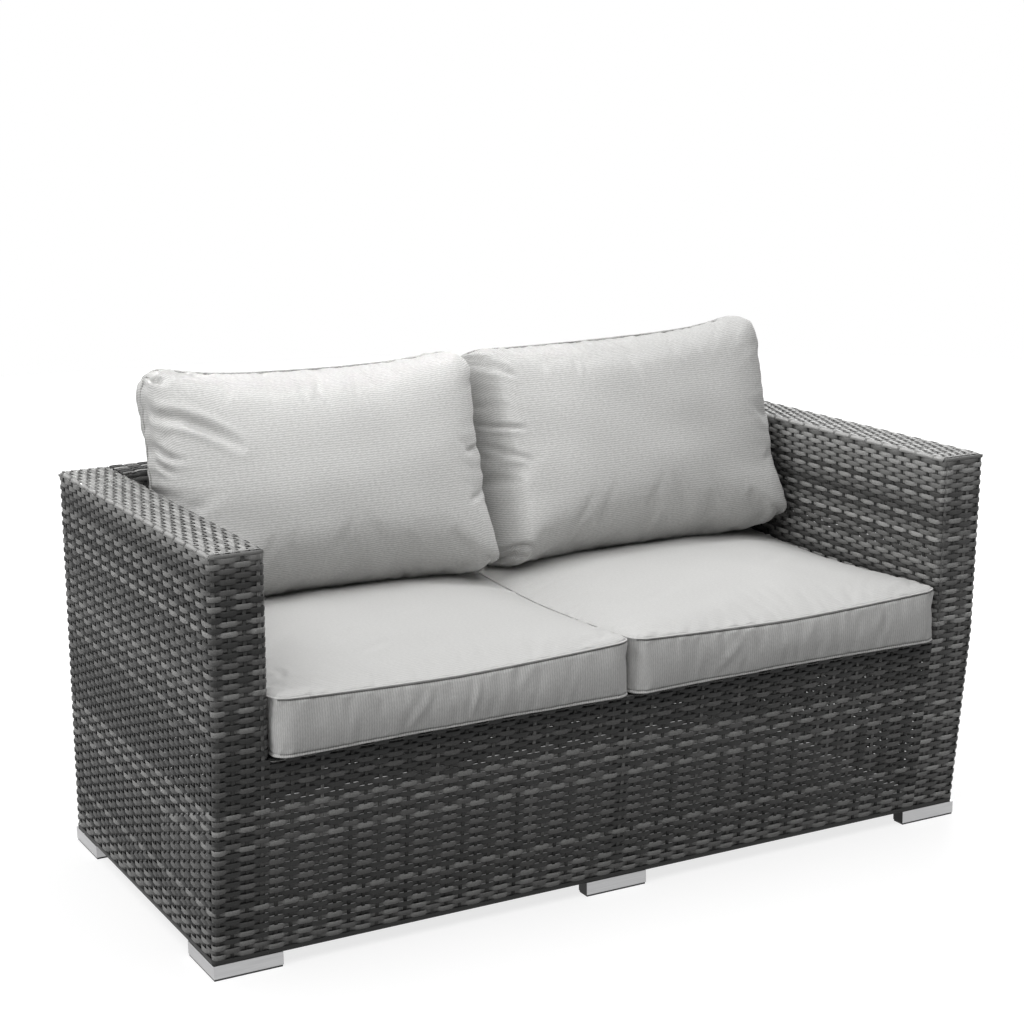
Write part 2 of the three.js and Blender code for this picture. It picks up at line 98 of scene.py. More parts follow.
def front_line(z):
    """Front of the body at a height: upright above the bend, and falling back towards the feet."""
    return np.interp(z, [FOOT_TOP, BEND_HEIGHT, TOP], [FRONT_FOOT, FRONT_TOP + FRONT_LEAN, FRONT_TOP])


def rear_line(z):
    return np.interp(z, [FOOT_TOP, TOP], [REAR_FOOT, REAR_TOP])


def leaned(y, z):
    """Where a point of the top's plan lies at a height, between the leaning front and rear."""
    share = np.clip((y - FRONT_TOP - CORNER) / (REAR_TOP - FRONT_TOP - 2 * CORNER), 0, 1)
    return y + (1 - share) * (front_line(z) - FRONT_TOP) + share * (rear_line(z) - REAR_TOP)


# Node, mesh and object helpers

class Tree:
    """A node tree with its main shader, and short ways to add nodes and feed them."""

    def __init__(self, owner, shader="Principled BSDF"):
        owner.use_nodes = True
        self.nodes, self.links = owner.node_tree.nodes, owner.node_tree.links
        self.shader = self.nodes[shader]

    def feed(self, node, inputs):
        """Sets a node's inputs to values, or links them to sockets."""
        for key, value in inputs.items():
            if isinstance(value, bpy.types.NodeSocket):
                self.links.new(value, node.inputs[key])
            else:
                node.inputs[key].default_value = value

    def add(self, kind, inputs, **settings):
        """Outputs of a new node."""
        node = self.nodes.new("ShaderNode" + kind)
        for key, value in settings.items():
            setattr(node, key, value)
        self.feed(node, inputs)
        return node.outputs

    def math(self, operation, *values):
        return self.add("Math", dict(enumerate(values)), operation=operation)[0]

    def times(self, first, second):
        return self.math("MULTIPLY", first, second)

    def plus(self, first, second):
        return self.math("ADD", first, second)

    def wave(self, value, length):
        return self.math("SINE", self.times(value, 2 * math.pi / length))

    def mapped(self, value, low, high, first=0.0, last=1.0, interpolation="LINEAR"):
        """Runs from low to high while a value runs from first to last."""
        return self.add("MapRange", {
            "Value": value, "From Min": first, "From Max": last, "To Min": low, "To Max": high,
        }, interpolation_type=interpolation)[0]

    def ramp(self, value, stops):
        """Colour ramp with (position, colour) stops."""
        node = self.nodes.new("ShaderNodeValToRGB")
        elements = node.color_ramp.elements
        while len(elements) > 1:
            elements.remove(elements[-1])
        elements[0].position, elements[0].color = stops[0][0], (*stops[0][1], 1)
        for position, colour in stops[1:]:
            elements.new(position).color = (*colour, 1)
        self.feed(node, {"Fac": value})
        return node.outputs["Color"]

    def noise(self, place, scale, detail, roughness=0.5):
        return self.add("TexNoise", {
            "Vector": place, "Scale": scale, "Detail": detail, "Roughness": roughness})["Fac"]

    def own_place(self):
        """The object's own coordinates."""
        return self.add("TexCoord", {})["Object"]

    def attributes(self, *names):
        return [self.add("Attribute", {}, attribute_name=name)["Fac"] for name in names]

    def stretched(self, values, scales):
        """Vector of values, each at its own scale."""
        return self.add("CombineXYZ", {k: self.times(*pair) for k, pair in enumerate(zip(values, scales))})[0]

    def bump(self, height, strength, distance):
        """Gives the shader's surface a fine relief."""
        normal = self.add("Bump", {"Strength": strength, "Distance": distance, "Height": height})[0]
        self.feed(self.shader, {"Normal": normal})


def new_material(name):
    material = bpy.data.materials.new(name)
    return material, Tree(material)


def mesh_from(bm, name):
    mesh = bpy.data.meshes.new(name)
    bm.to_mesh(mesh)
    bm.free()
    return mesh


def placed(name, data):
    """New object in the scene."""
    thing = bpy.data.objects.new(name, data)
    bpy.context.scene.collection.objects.link(thing)
    return thing


def fitted(name, mesh, smooth, body, nodes, material):
    """Piece of the dressed part, which rides on its body in the place of its nodes' solids."""
    mesh.polygons.foreach_set("use_smooth", smooth)
    mesh.materials.append(material)
    piece = placed(name, mesh)
    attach(piece, body)
    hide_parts(*nodes)
    return piece


# Materials

# What each vertex of a strand carries
LAYERS = ("tone", "along", "across")
STRAND_GREYS = [
    (0.0, (0.010, 0.010, 0.0098)), (0.3, (0.034, 0.034, 0.033)), (0.6, (0.098, 0.097, 0.095)),
    (0.88, (0.22, 0.219, 0.214)), (1.0, (0.4, 0.398, 0.39)),
]
CLOTH_GREYS = [
    (0.0, (0.2, 0.2, 0.195)), (0.3, (0.45, 0.448, 0.44)), (0.5, (0.58, 0.578, 0.568)),
    (0.7, (0.72, 0.718, 0.706)),
]
# How close the streaks lie along a strand, across it and from tone to tone, and the threads on the cloth
STREAKS = (18, 1.4, 90)
THREADS = (170, 300)
STRAND_RIBS = 15.5
RIB_PITCH, LINE_PITCH, WANDER_PITCH = 1.9 * MM, 4.3 * MM, 8 * MM
# Painted shade for the hollow insides of the feet's open ends
OPEN_END_SHADE_GREY = (0.02, 0.02, 0.02, 1)


def strand_material():
    """Extruded plastic strand: mixed greys from strand to strand, with fine ribs along it."""
    material, tree = new_material("woven_strand")
    tone, along, across = tree.attributes(*LAYERS)
    streaks = tree.noise(tree.stretched((along, across, tone), STREAKS), 1.0, 4.0, 0.6)
    shift = tree.times(tree.math("SUBTRACT", streaks, 0.5), 0.35)
    ribs = tree.math("SINE", tree.times(across, STRAND_RIBS))
    tree.bump(tree.plus(tree.times(ribs, 0.35), streaks), 0.35, 0.6 * MM)
    tree.feed(tree.shader, {
        "Base Color": tree.ramp(tree.plus(tone, shift), STRAND_GREYS),
        "Roughness": tree.mapped(streaks, 0.42, 0.62), "Specular IOR Level": 0.28})
    return material


def fabric_material():
    """Outdoor cloth in light warm grey, with fine ribs, uneven threads along them, a dry finish and painted
    shade in its seam grooves and sunk ends.
    """
    material, tree = new_material("cushion_cloth")
    rib, along, crease, upright = tree.attributes("rib", "along", "crease", "upright")
    threads = tree.noise(tree.stretched((rib, along), THREADS), 1.0, 2.0, 0.7)
    shift = tree.times(tree.math("SUBTRACT", threads, 0.5), 0.55)
    wander = tree.times(tree.wave(rib, WANDER_PITCH), 0.4)
    lines = tree.math("SINE", tree.plus(tree.times(along, 2 * math.pi / LINE_PITCH), wander))
    shift = tree.times(tree.plus(shift, tree.times(lines, 0.14)), upright)
    # Painted shade: the cloth is drawn darker in its seam grooves and in a back cushion's sunk end
    shift = tree.math("SUBTRACT", shift, tree.times(crease, 0.7))
    tree.bump(tree.plus(tree.times(tree.wave(rib, RIB_PITCH), 0.3), threads), 0.35, 0.5 * MM)
    tree.feed(tree.shader, {
        "Base Color": tree.ramp(tree.plus(shift, 0.5), CLOTH_GREYS), "Roughness": 0.92,
        "Specular IOR Level": 0.2, "Sheen Weight": 0.12, "Sheen Roughness": 0.5})
    return material


def metal_material(name, colour, roughness, brush_scale, metallic=1.0):
    """Metal, brushed or coated, with its grain read on the object's own coordinates."""
    material, tree = new_material(name)
    stretch = tree.add("Mapping", {"Vector": tree.own_place(), "Scale": brush_scale})
    grain = tree.noise(stretch[0], 1.0, 4.0, 0.6)
    dark = tuple(0.82 * c for c in colour)
    tree.bump(grain, 0.12, 0.3 * MM)
    tree.feed(tree.shader, {
        "Base Color": tree.ramp(grain, [(0.3, dark), (0.7, colour)]), "Metallic": metallic,
        "Roughness": tree.mapped(grain, roughness - 0.06, roughness + 0.08)})
    return material


def paint_shade_on_open_ends(material):
    """Paints shade on the feet, which are bent from channel: their end faces are drawn dark where the ends
    are open.
    """
    tree = Tree(material)
    across = tree.math("ABSOLUTE", tree.add("SeparateXYZ", {0: tree.own_place()})["X"])
    dark = 0
    for end in (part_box("front_middle_foot")[1].x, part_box("front_right_foot")[0].x):
        dark = tree.math("MAXIMUM", dark, tree.math("COMPARE", across, end, 0.2 * MM))
    bright = tree.shader.inputs["Base Color"].links[0].from_socket
    mix = tree.add("Mix", {"Factor": dark, "A": bright, "B": OPEN_END_SHADE_GREY}, data_type="RGBA")
    tree.feed(tree.shader, {"Base Color": mix["Result"]})


def glide_material():
    """Black moulded plastic with a fine pebbled skin."""
    material, tree = new_material("glide_plastic")
    pebbles = tree.noise(tree.own_place(), 900.0, 2.0)
    tree.bump(pebbles, 0.2, 0.2 * MM)
    tree.feed(tree.shader, {
        "Base Color": tree.ramp(pebbles, [(0.35, (0.012,) * 3), (0.7, (0.03,) * 3)]), "Roughness": 0.55})
    return material


def dress_cad_nodes():
    """Gives every piece that keeps its solid its own finish."""
    foot = metal_material("brushed_aluminium", (0.49, 0.49, 0.495), 0.34, (12, 12, 900))
    paint_shade_on_open_ends(foot)
    tube = metal_material("powder_coated_tube", (0.10, 0.10, 0.105), 0.5, (300, 300, 300), 0.0)
    glide = glide_material()
    for name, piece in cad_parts.items():
        if name.endswith("_glide"):
            finish = glide
        elif name.endswith("_foot"):
            finish = foot
        elif name.endswith(("_leg", "_rail", "_post")) or name.startswith("seat_bar_"):
            finish = tube
        else:
            continue
        piece.data.materials.clear()
        piece.data.materials.append(finish)


# Weave

TURN_STEPS = 8
# The section of a strand and of a stake, as shares of half its width and in millimetres
STRAND_RING = [(-1.0, -0.25), (-0.84, 0.5), (0.0, 0.8), (0.84, 0.5), (1.0, -0.25)]
STAKE_RING = [(-1.0, -0.5), (-0.86, 0.5), (-0.14, 0.6), (0.0, 0.35), (0.14, 0.6), (0.86, 0.5), (1.0, -0.5)]


class Line:
    """Straights in a plane, with quarter turns to the left between them, measured along their length."""

    def __init__(self, start, heading, radius, straights):
        at = complex(*start)
        self.length, points, self.marks = [0.0], [at], [0.0]
        for number, straight in enumerate(straights):
            for _ in range(TURN_STEPS if number else 0):
                after = heading * np.exp(0.5j * math.pi / TURN_STEPS)
                at, heading = at + 1j * radius * (heading - after), after
                self.length.append(self.length[-1] + radius * math.pi / 2 / TURN_STEPS)
                points.append(at)
            if number:
                self.marks.append(self.length[-1])
            at = at + straight * heading
            self.length.append(self.length[-1] + straight)
            points.append(at)
            self.marks.append(self.length[-1])
        self.points, self.total = np.array(points), self.length[-1]

    def place(self, s):
        return np.interp(s, self.length, self.points.real), np.interp(s, self.length, self.points.imag)


def arm_line(until_inside):
    """Plan of the weave round the left arm, from the rear to the front and, above the seat, on inside."""
    width = HALF_WIDTH - ARM_INNER
    straights = [width - CORNER, REAR_TOP - FRONT_TOP - 2 * CORNER, width - CORNER]
    if until_inside:
        straights[2:] = [width - 2 * CORNER, BACK_FACE - FRONT_TOP - CORNER]
    return Line((-ARM_INNER, REAR_TOP - MID), -1, CORNER - MID, straights)


LOW_ARM_LINE = arm_line(False)
HIGH_ARM_LINE = arm_line(True)
ARM_PITCH = LOW_ARM_LINE.total / STAKES_ROUND_ARM
BAY_PITCH = 2 * ARM_INNER / STAKES_BETWEEN_ARMS
ROW_PITCH = (SHOULDER_FOOT - WEAVE_LOW) / ROW_COUNT
FIRST_HIGH_ROW = math.ceil((SEAT_TOP - WEAVE_LOW) / ROW_PITCH)


def stacked(x, y, z):
    return np.stack(np.broadcast_arrays(x, y, z), -1)


def arm_wall(line):
    """Surface of an arm's upright weave, by stake number and height."""
    def surface(u, z):
        x, y = line.place(LOW_ARM_LINE.total - u * ARM_PITCH)
        return stacked(x, leaned(y, z), z)
    return surface


TOP_RADIUS = SHOULDER - MID
TOP_TURN = TOP_RADIUS * math.pi / 2


def top_drop(distance):
    """How far a rolled edge has gone out and down at a distance along it from the flat."""
    angle = np.clip(distance / TOP_RADIUS, 0, math.pi / 2)
    return TOP_RADIUS * np.sin(angle), TOP_RADIUS * (1 - np.cos(angle))


def rolled_surface(low, high):
    """Section over an arm or the back, rolled down at both ends, and its length."""
    flat = high - low - 2 * SHOULDER

    def across(c):
        back_in, drop_in = top_drop(np.maximum(TOP_TURN - c, 0))
        back_out, drop_out = top_drop(np.maximum(c - TOP_TURN - flat, 0))
        return low + SHOULDER + np.clip(c - TOP_TURN, 0, flat) - back_in + back_out, drop_in + drop_out
    return across, 2 * TOP_TURN + flat


def over_levels(width):
    """Rings of a stake that goes over a rolled top."""
    return [*np.linspace(0, TOP_TURN, 4), *np.linspace(width - TOP_TURN, width, 4)]


def arm_top():
    """Surface of the left arm's top, by stake number and length across it from the outside in."""
    across, width = rolled_surface(-HALF_WIDTH, -ARM_INNER)
    first = (LOW_ARM_LINE.total - LOW_ARM_LINE.marks[4]) / ARM_PITCH
    along, _ = rolled_surface(FRONT_TOP, REAR_TOP)

    def surface(u, c):
        x, side_drop = across(c)
        y, end_drop = along((u - first) * ARM_PITCH + TOP_TURN)
        return stacked(x, y, TOP - MID - np.minimum(side_drop + end_drop, TOP_RADIUS))
    reach = TOP_TURN / ARM_PITCH
    last = first + (REAR_TOP - FRONT_TOP - 2 * SHOULDER) / ARM_PITCH
    return surface, width, first - reach, last + reach


def back_top():
    across, width = rolled_surface(BACK_FACE, REAR_TOP)

    def surface(u, c):
        y, drop = across(c)
        return stacked(u * BAY_PITCH - ARM_INNER, y, TOP - MID - drop)
    return surface, width


def bay_wall(line_at, inset):
    """Upright surface between the arms; line_at gives its outer face at a height."""
    def surface(u, z):
        return stacked(u * BAY_PITCH - ARM_INNER, line_at(z) + inset, z)
    return surface


def seat_deck(u, y):
    return stacked(u * BAY_PITCH - ARM_INNER, y, SEAT_TOP - MID)


def frames(surface, u, v):
    """Points of a surface with the directions along it, across it and out of it."""
    step = 0.02
    point = surface(u, v)
    along = surface(u + step, v) - surface(u - step, v)
    across = surface(u, v + step * MM) - surface(u, v - step * MM)
    along /= np.linalg.norm(along, axis=-1, keepdims=True) + 1e-12
    across /= np.linalg.norm(across, axis=-1, keepdims=True) + 1e-12
    out = np.cross(along, across)
    out /= np.linalg.norm(out, axis=-1, keepdims=True) + 1e-12
    return point, along, across, out


def tube_template(stations, ring_count):
    """Closed straight tube with a ring at each station, and for each vertex its station and ring place."""
    bm = bmesh.new()
    bmesh.ops.create_cone(bm, cap_ends=True, segments=ring_count, radius1=1, radius2=1, depth=2)
    long_edges = [e for e in bm.edges if abs(e.verts[0].co.z - e.verts[1].co.z) > 1]
    if stations > 2:
        bmesh.ops.subdivide_edges(bm, edges=long_edges, cuts=stations - 2)
    mesh = mesh_from(bm, "tube_template")
    co = np.array([v.co for v in mesh.vertices])
    station = np.rint((co[:, 2] + 1) / 2 * (stations - 1)).astype(int)
    turn = np.arctan2(co[:, 1], co[:, 0]) / (2 * math.pi) * ring_count
    ring = np.rint(turn - turn[0]).astype(int) % ring_count
    return mesh, station, ring


def woven_tubes(bm, points, tones, alongs, across_shares):
    """Adds closed tubes to a bmesh: points are by tube, station and ring place."""
    count, stations, ring_count, _ = points.shape
    template, station, ring = tube_template(stations, ring_count)
    first = len(bm.verts)
    for _ in range(count):
        bm.from_mesh(template)
    bpy.data.meshes.remove(template)
    bm.verts.ensure_lookup_table()
    places = points[:, station, ring].reshape(-1, 3)
    tone = np.repeat(tones, len(station))
    along = np.tile(alongs[station], count) + np.repeat(np.arange(count) * STREAK_SHIFT, len(station))
    across = np.tile(across_shares[ring], count)
    layers = [bm.verts.layers.float[name] for name in LAYERS]
    for vert, co, values in zip(bm.verts[first:], places, zip(tone, along, across)):
        vert.co = co
        for layer, value in zip(layers, values):
            vert[layer] = value


def lay_tubes(bm, point, sideways, out, width, lift, ring, tones):
    """Closed tubes along rows of points, with a ring of the given shape, half width and lift at each."""
    ring = np.array(ring)
    points = (
        point[:, :, None] + sideways[:, :, None] * (width * ring[:, 0])[..., None]
        + out[:, :, None] * (lift + ring[:, 1] * MM)[..., None]
    )
    length = np.concatenate([[0], np.cumsum(np.linalg.norm(np.diff(point[0], axis=0), axis=1))])
    woven_tubes(bm, points, tones, length * STREAK_PACE, ring[:, 0])


def lay_rows(bm, surface, side, row_numbers, row_places, u_stations, tones,
             half=STRAND_HALF, rise=STRAND_WAVE, proud=-STRAND_SINK):
    """Strands along u, one for each row, passing over and under the stakes at half numbers of u."""
    if not len(row_places):
        return
    grid_u, grid_v = np.meshgrid(u_stations, row_places)
    point, _, across, out = frames(surface, grid_u, grid_v)
    sign = np.where(np.asarray(row_numbers) % 2 == 0, 1.0, -1.0)[:, None]
    wave = np.cos(math.pi * (grid_u - 0.5))
    wave = np.sign(wave) * abs(wave) ** SQUARENESS * sign
    width = half + STRAND_SPREAD * rise / STRAND_WAVE * wave
    lift = rise * wave + proud
    lay_tubes(bm, point, across, out * side, width[:, :, None], lift[:, :, None], STRAND_RING, tones)


def lay_stakes(bm, surface, side, stake_places, v_stations, tones):
    """Flat stakes along v, straight through the middle of the weave."""
    grid_u, grid_v = np.meshgrid(stake_places, v_stations, indexing="ij")
    point, along, _, out = frames(surface, grid_u, grid_v)
    lay_tubes(bm, point, along, out * side, STAKE_HALF, 0.0, STAKE_RING, tones)


def weave(name, nodes, material, row_groups, stakes):
    """Piece of weave from groups of rows and from stakes, each given as its arguments."""
    bm = bmesh.new()
    for key in LAYERS:
        bm.verts.layers.float.new(key)
    for group in row_groups:
        lay_rows(bm, *group)
    lay_stakes(bm, *stakes)
    bmesh.ops.recalc_face_normals(bm, faces=bm.faces[:])
    mesh = mesh_from(bm, name)
    smooth = [len(face.vertices) == 4 for face in mesh.polygons]
    fitted(name, mesh, smooth, "sofa_body", nodes, material)


def strand_tones(count, weights=(38, 16, 22, 24)):
    """Irregular runs of dark, middle and light strands."""
    tones, base = [], None
    for _ in range(count):
        before, base = base, rng.choices(TONES, weights)[0]
        if base == before:
            base = rng.choices(TONES, weights)[0]
        tones.append(base + rng.uniform(-TONE_JITTER, TONE_JITTER))
    return np.array(tones)


def stake_tones(count, choices=(0.1, 0.2, 0.4, 0.65)):
    return np.array([
        rng.choice(choices) + rng.uniform(-STAKE_JITTER, STAKE_JITTER) for _ in range(count)])


def stations(start, end, marks=()):
    """Stake numbers at which a strand has a ring: its ends, its waves' turns and any marks."""
    even = [i + place for i in range(math.floor(start), math.ceil(end)) for place in RING_PLACES]
    within = [v for v in [start, end, *marks, *even] if start - TINY <= v <= end + TINY]
    values = sorted(set(round(v, 4) for v in within))
    kept = [values[0]]
    for value in values[1:]:
        if value - kept[-1] > LEAST_RING_GAP:
            kept.append(value)
    kept[-1] = values[-1]
    return kept


def halves(start, end):
    """The stakes, at half numbers, that lie between two stake numbers."""
    return [i + 0.5 for i in range(math.ceil(start - 0.5), math.floor(end - 0.5) + 1)]


row_tones = strand_tones(ROW_COUNT)
row_tones[0] = 0.1
row_tones[-1] = row_tones[-2] = 0.85
row_heights = WEAVE_LOW + (np.arange(ROW_COUNT) + 0.5) * ROW_PITCH
low_rows, high_rows = np.arange(FIRST_HIGH_ROW), np.arange(FIRST_HIGH_ROW, ROW_COUNT)


def mirrored(surface):
    """The right arm's surface, from the left arm's."""
    def other(u, v):
        return surface(u, v) * np.array([-1, 1, 1])
    return other


def arm_marks(line):
    """Stake numbers at the ends and middles of the corners that an arm's line turns."""
    lengths = []
    for low, high in zip(line.marks[1:-1:2], line.marks[2::2]):
        lengths += list(np.linspace(low, high, 4))
    return [(LOW_ARM_LINE.total - s) / ARM_PITCH for s in lengths]


def front_edge(u, z):
    """Face of the left arm's front just under its top, by stake number from the inside and height."""
    return stacked(-ARM_INNER - u * ARM_PITCH, FRONT_TOP + EDGE_INSET, z)


# Tones of stakes, and how the right arm's rows and the tops' strands differ in tone
SHADED_STAKES, INNER_STAKES, TOP_STAKES = (0.02, 0.08, 0.16), (0.05, 0.12, 0.3), (0.8, 0.95)
RIGHT_WEIGHTS, RIGHT_BASE, RIGHT_SPAN = (24, 8, 36, 32), 0.32, 0.72
TOP_BASE, TOP_SPAN, TOP_SIDE = 0.77, 0.35, 0.08
TOP_HALF_SHARE = 0.55
BINDING_TONE = 0.12
# The apron's top rows, in the shade of the seat cushions
APRON_SHADE = -0.05, -0.3, -0.3
# The strand under each arm top's front edge: its inset, ends, drop, half width and tone
EDGE_INSET, EDGE_ENDS, EDGE_DROP, EDGE_HALF, EDGE_TONE = 1.5 * MM, 0.16, 5.6 * MM, 2.9 * MM, 0.85


def weave_arm(side_name, sign, material):
    mirror = (lambda s: s) if sign < 0 else mirrored
    low, high = mirror(arm_wall(LOW_ARM_LINE)), mirror(arm_wall(HIGH_ARM_LINE))
    inner_corner = (LOW_ARM_LINE.total - HIGH_ARM_LINE.marks[5]) / ARM_PITCH
    inner_end = (LOW_ARM_LINE.total - HIGH_ARM_LINE.total) / ARM_PITCH
    arm = f"{side_name}_arm_"
    tones = row_tones
    if sign > 0:
        tones = RIGHT_BASE + RIGHT_SPAN * strand_tones(ROW_COUNT, RIGHT_WEIGHTS)

    def upper_rows(start, end):
        across = stations(start, end, arm_marks(HIGH_ARM_LINE))
        return high, sign, high_rows, row_heights[high_rows], across, tones[high_rows]
    across = stations(0, STAKES_ROUND_ARM, arm_marks(LOW_ARM_LINE))
    lower, stakes = low_rows[1:], np.array(halves(0, STAKES_ROUND_ARM))
    stake_greys = np.where(
        stakes < FRONT_STAKES, stake_tones(len(stakes)), stake_tones(len(stakes), SHADED_STAKES))
    weave(arm + "outer_strands", [f"{arm}{part}_weave" for part in ("outer", "front", "rear")], material, [
        (low, sign, lower, row_heights[lower], across, tones[lower]),
        (low, sign, [0], row_heights[:1], across, [BINDING_TONE], STRAND_HALF, 0.0, BINDING_PROUD),
        upper_rows(inner_corner, STAKES_ROUND_ARM),
    ], (low, sign, stakes, [WEAVE_LOW, BEND_HEIGHT, SHOULDER_FOOT], stake_greys))

    stakes = halves(inner_end, inner_corner)
    weave(arm + "inner_strands", [arm + "inner_weave"], material, [upper_rows(inner_end, inner_corner)], (
        high, sign, stakes, [SEAT_TOP - SKIN, BEND_HEIGHT, SHOULDER_FOOT],
        stake_tones(len(stakes), INNER_STAKES)))

    surface, width, start, end = arm_top()
    surface = mirror(surface)
    numbers, pitch = np.arange(TOP_ROW_COUNT), width / TOP_ROW_COUNT
    tones = strand_tones(TOP_ROW_COUNT) * TOP_SPAN + TOP_BASE - TOP_SIDE * sign
    tones[0] = tones[1] = tones[-1] = 1.0
    edge_across = np.linspace(EDGE_ENDS, (HALF_WIDTH - ARM_INNER) / ARM_PITCH - EDGE_ENDS, 9)
    stakes = halves(start, end)
    weave(arm + "top_strands", [arm + "top_weave"], material, [
        (surface, -sign, ROW_COUNT + numbers, (numbers + 0.5) * pitch, stations(start + 0.25, end), tones,
         TOP_HALF_SHARE * pitch, (0.95 - 0.25 * sign) * MM),
        (mirror(front_edge), sign, [0], [TOP - EDGE_DROP], edge_across, [EDGE_TONE], EDGE_HALF, 0.0),
    ], (surface, -sign, stakes, over_levels(width), stake_tones(len(stakes), TOP_STAKES)))


def weave_bay(name, surface, side, rows, places, tones, levels, material, bound=0):
    """Rows and stakes between the arms; the lowest rows can be bound off with flat strands."""
    across, stakes = stations(0, STAKES_BETWEEN_ARMS), halves(0, STAKES_BETWEEN_ARMS)
    weave(name + "_strands", [name + "_weave"], material, [
        (surface, side, rows[bound:] + 1, places[bound:], across, tones[bound:]),
        (surface, side, rows[:bound], places[:bound], across, tones[:bound], STRAND_HALF, 0.0, BINDING_PROUD),
    ], (surface, side, stakes, levels, stake_tones(len(stakes))))


def weave_body(material):
    weave_arm("left", -1, material)
    weave_arm("right", 1, material)
    apron_tones = row_tones[low_rows].copy()
    apron_tones[-3:] = APRON_SHADE
    weave_bay("front_apron", bay_wall(front_line, MID), 1, low_rows, row_heights[low_rows],
              apron_tones, [WEAVE_LOW, SEAT_TOP - SKIN], material, 1)
    weave_bay("back_outer", bay_wall(rear_line, -MID), -1, np.arange(ROW_COUNT), row_heights,
              row_tones, [WEAVE_LOW, SHOULDER_FOOT], material, 1)
    weave_bay("back_inner", bay_wall(lambda z: BACK_FACE, MID), 1, high_rows, row_heights[high_rows],
              row_tones[high_rows], [SEAT_TOP, SHOULDER_FOOT], material)
    surface, width = back_top()
    rows = np.arange(TOP_ROW_COUNT)
    weave_bay("back_top", surface, 1, rows, (rows + 0.5) * width / TOP_ROW_COUNT,
              strand_tones(TOP_ROW_COUNT) + 0.1, over_levels(width), material)
    deck_low = front_line(SEAT_TOP)
    pitch = (SEAT_REAR - deck_low) / DECK_ROW_COUNT
    rows = np.arange(DECK_ROW_COUNT)
    weave_bay("seat_deck", seat_deck, 1, rows, deck_low + (rows + 0.5) * pitch,
              strand_tones(DECK_ROW_COUNT), [deck_low, SEAT_REAR], material)


# Cushions

SEAT_LOW, SEAT_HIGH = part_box("right_seat_cushion")
BACK_LOW, BACK_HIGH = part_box("right_back_cushion")
PAD_HALF_X = (SEAT_HIGH.x - SEAT_LOW.x) / 2
PAD_HALF_Y = (SEAT_HIGH.y - SEAT_LOW.y) / 2
PAD_MIDDLE_X = (SEAT_HIGH.x + SEAT_LOW.x) / 2
PAD_MIDDLE_Y = (SEAT_HIGH.y + SEAT_LOW.y) / 2
BOXING = 90 * MM
SEAT_CORNER = 30 * MM
BACK_HALF_Z = 206 * MM
BACK_HALF_DEPTH = 67 * MM
BACK_RIM = 46 * MM
BACK_FOOT_RIM = 116 * MM
RIM_POWER = 2.3
CROWN_POWER = 2.2
# Seat cushion: height of its upper seam and its rise at the corners, puff beside the seam, crown, rounding
# of its underside, and how far and from where on it is pressed down towards the back cushion
SEAT_SEAM, CORNER_RISE, SEAT_PUFF, SEAT_CROWN, SEAT_FOOT = 85 * MM, 13 * MM, 9 * MM, 26 * MM, 3.5 * MM
PRESSED, PRESSED_FROM, PRESSED_OVER = 6 * MM, 100 * MM, 12 * MM
FULLER_END_POWER = 1.5
RIM_WALL = 26 * MM
LEAN = math.radians(8)
FOOT_SLUMP = 34 * MM
SETTLED = 36 * MM
LOW_CENTRE = -0.38
FRONT_CROWN = 43 * MM
RIGHT_FILLING = 28 * MM
REAR_CROWN = 3 * MM
SWELL_FRAMES = 20
CLOTH = {"quality": 5, "bending_stiffness": 0.8, "use_pressure": True, "uniform_pressure_force": 4}


def box_lattice(stations):
    """Closed box of quads with a vertex for each station along x, y and z, at whole-numbered places."""
    counts = [len(s) - 1 for s in stations]
    bm = bmesh.new()
    for fixed in range(3):
        first, second = [axis for axis in range(3) if axis != fixed]
        for level in (0, counts[fixed]):
            place = Matrix(((0,) * 4,) * 4)
            place[first][0] = place[first][3] = counts[first] / 2
            place[second][1] = place[second][3] = counts[second] / 2
            place[fixed][2], place[fixed][3], place[3][3] = 1, level, 1
            bmesh.ops.create_grid(
                bm, x_segments=counts[first], y_segments=counts[second], size=1, matrix=place)
    bmesh.ops.remove_doubles(bm, verts=bm.verts[:], dist=0.1)
    bmesh.ops.recalc_face_normals(bm, faces=bm.faces[:])
    mesh = mesh_from(bm, "lattice")
    return mesh, np.rint(points_of(mesh)).astype(int)


def points_of(mesh, key="co"):
    flat = np.empty(3 * len(mesh.vertices))
    mesh.vertices.foreach_get(key, flat)
    return flat.reshape(-1, 3)


def move_points(mesh, points):
    mesh.vertices.foreach_set("co", points.ravel())
    mesh.update()


def places_in(lattice, stations):
    return np.stack([np.asarray(s)[lattice[:, axis]] for axis, s in enumerate(stations)], -1)


def rounded_plan(x, y, half_x, half_y, radius):
    """Draws the corners of a rectangle's grid in to quarter circles, with its edge lines kept parallel."""
    dx, dy = radius - half_x + abs(x), radius - half_y + abs(y)
    inside = (dx > 0) & (dy > 0)
    reach = np.maximum(np.maximum(dx, dy), 1e-9)
    turn = math.pi / 4 * np.minimum(dx, dy) / reach
    far, near = reach * np.cos(turn), reach * np.sin(turn)
    new_x = half_x - radius + np.where(dx >= dy, far, near)
    new_y = half_y - radius + np.where(dx >= dy, near, far)
    return np.where(inside, np.sign(x) * new_x, x), np.where(inside, np.sign(y) * new_y, y)


def drawn_in(x, y, half_x, half_y, draw_x, draw_y):
    """Pulls the sides of an outline in between its corners."""
    return (x * (1 - draw_x / half_x * (1 - (y / half_y) ** 2)),
            y * (1 - draw_y / half_y * (1 - (x / half_x) ** 2)))


def crown(x, y, half_x, half_y):
    rise_x, rise_y = (
        1 - np.minimum(abs(v) / half, 1) ** CROWN_POWER for v, half in ((x, half_x), (y, half_y)))
    return rise_x * rise_y


def bell(distance, width):
    return np.exp(-(distance / width) ** 2)


def bump_at(distance, middle, width):
    return bell(distance - middle * MM, width * MM)


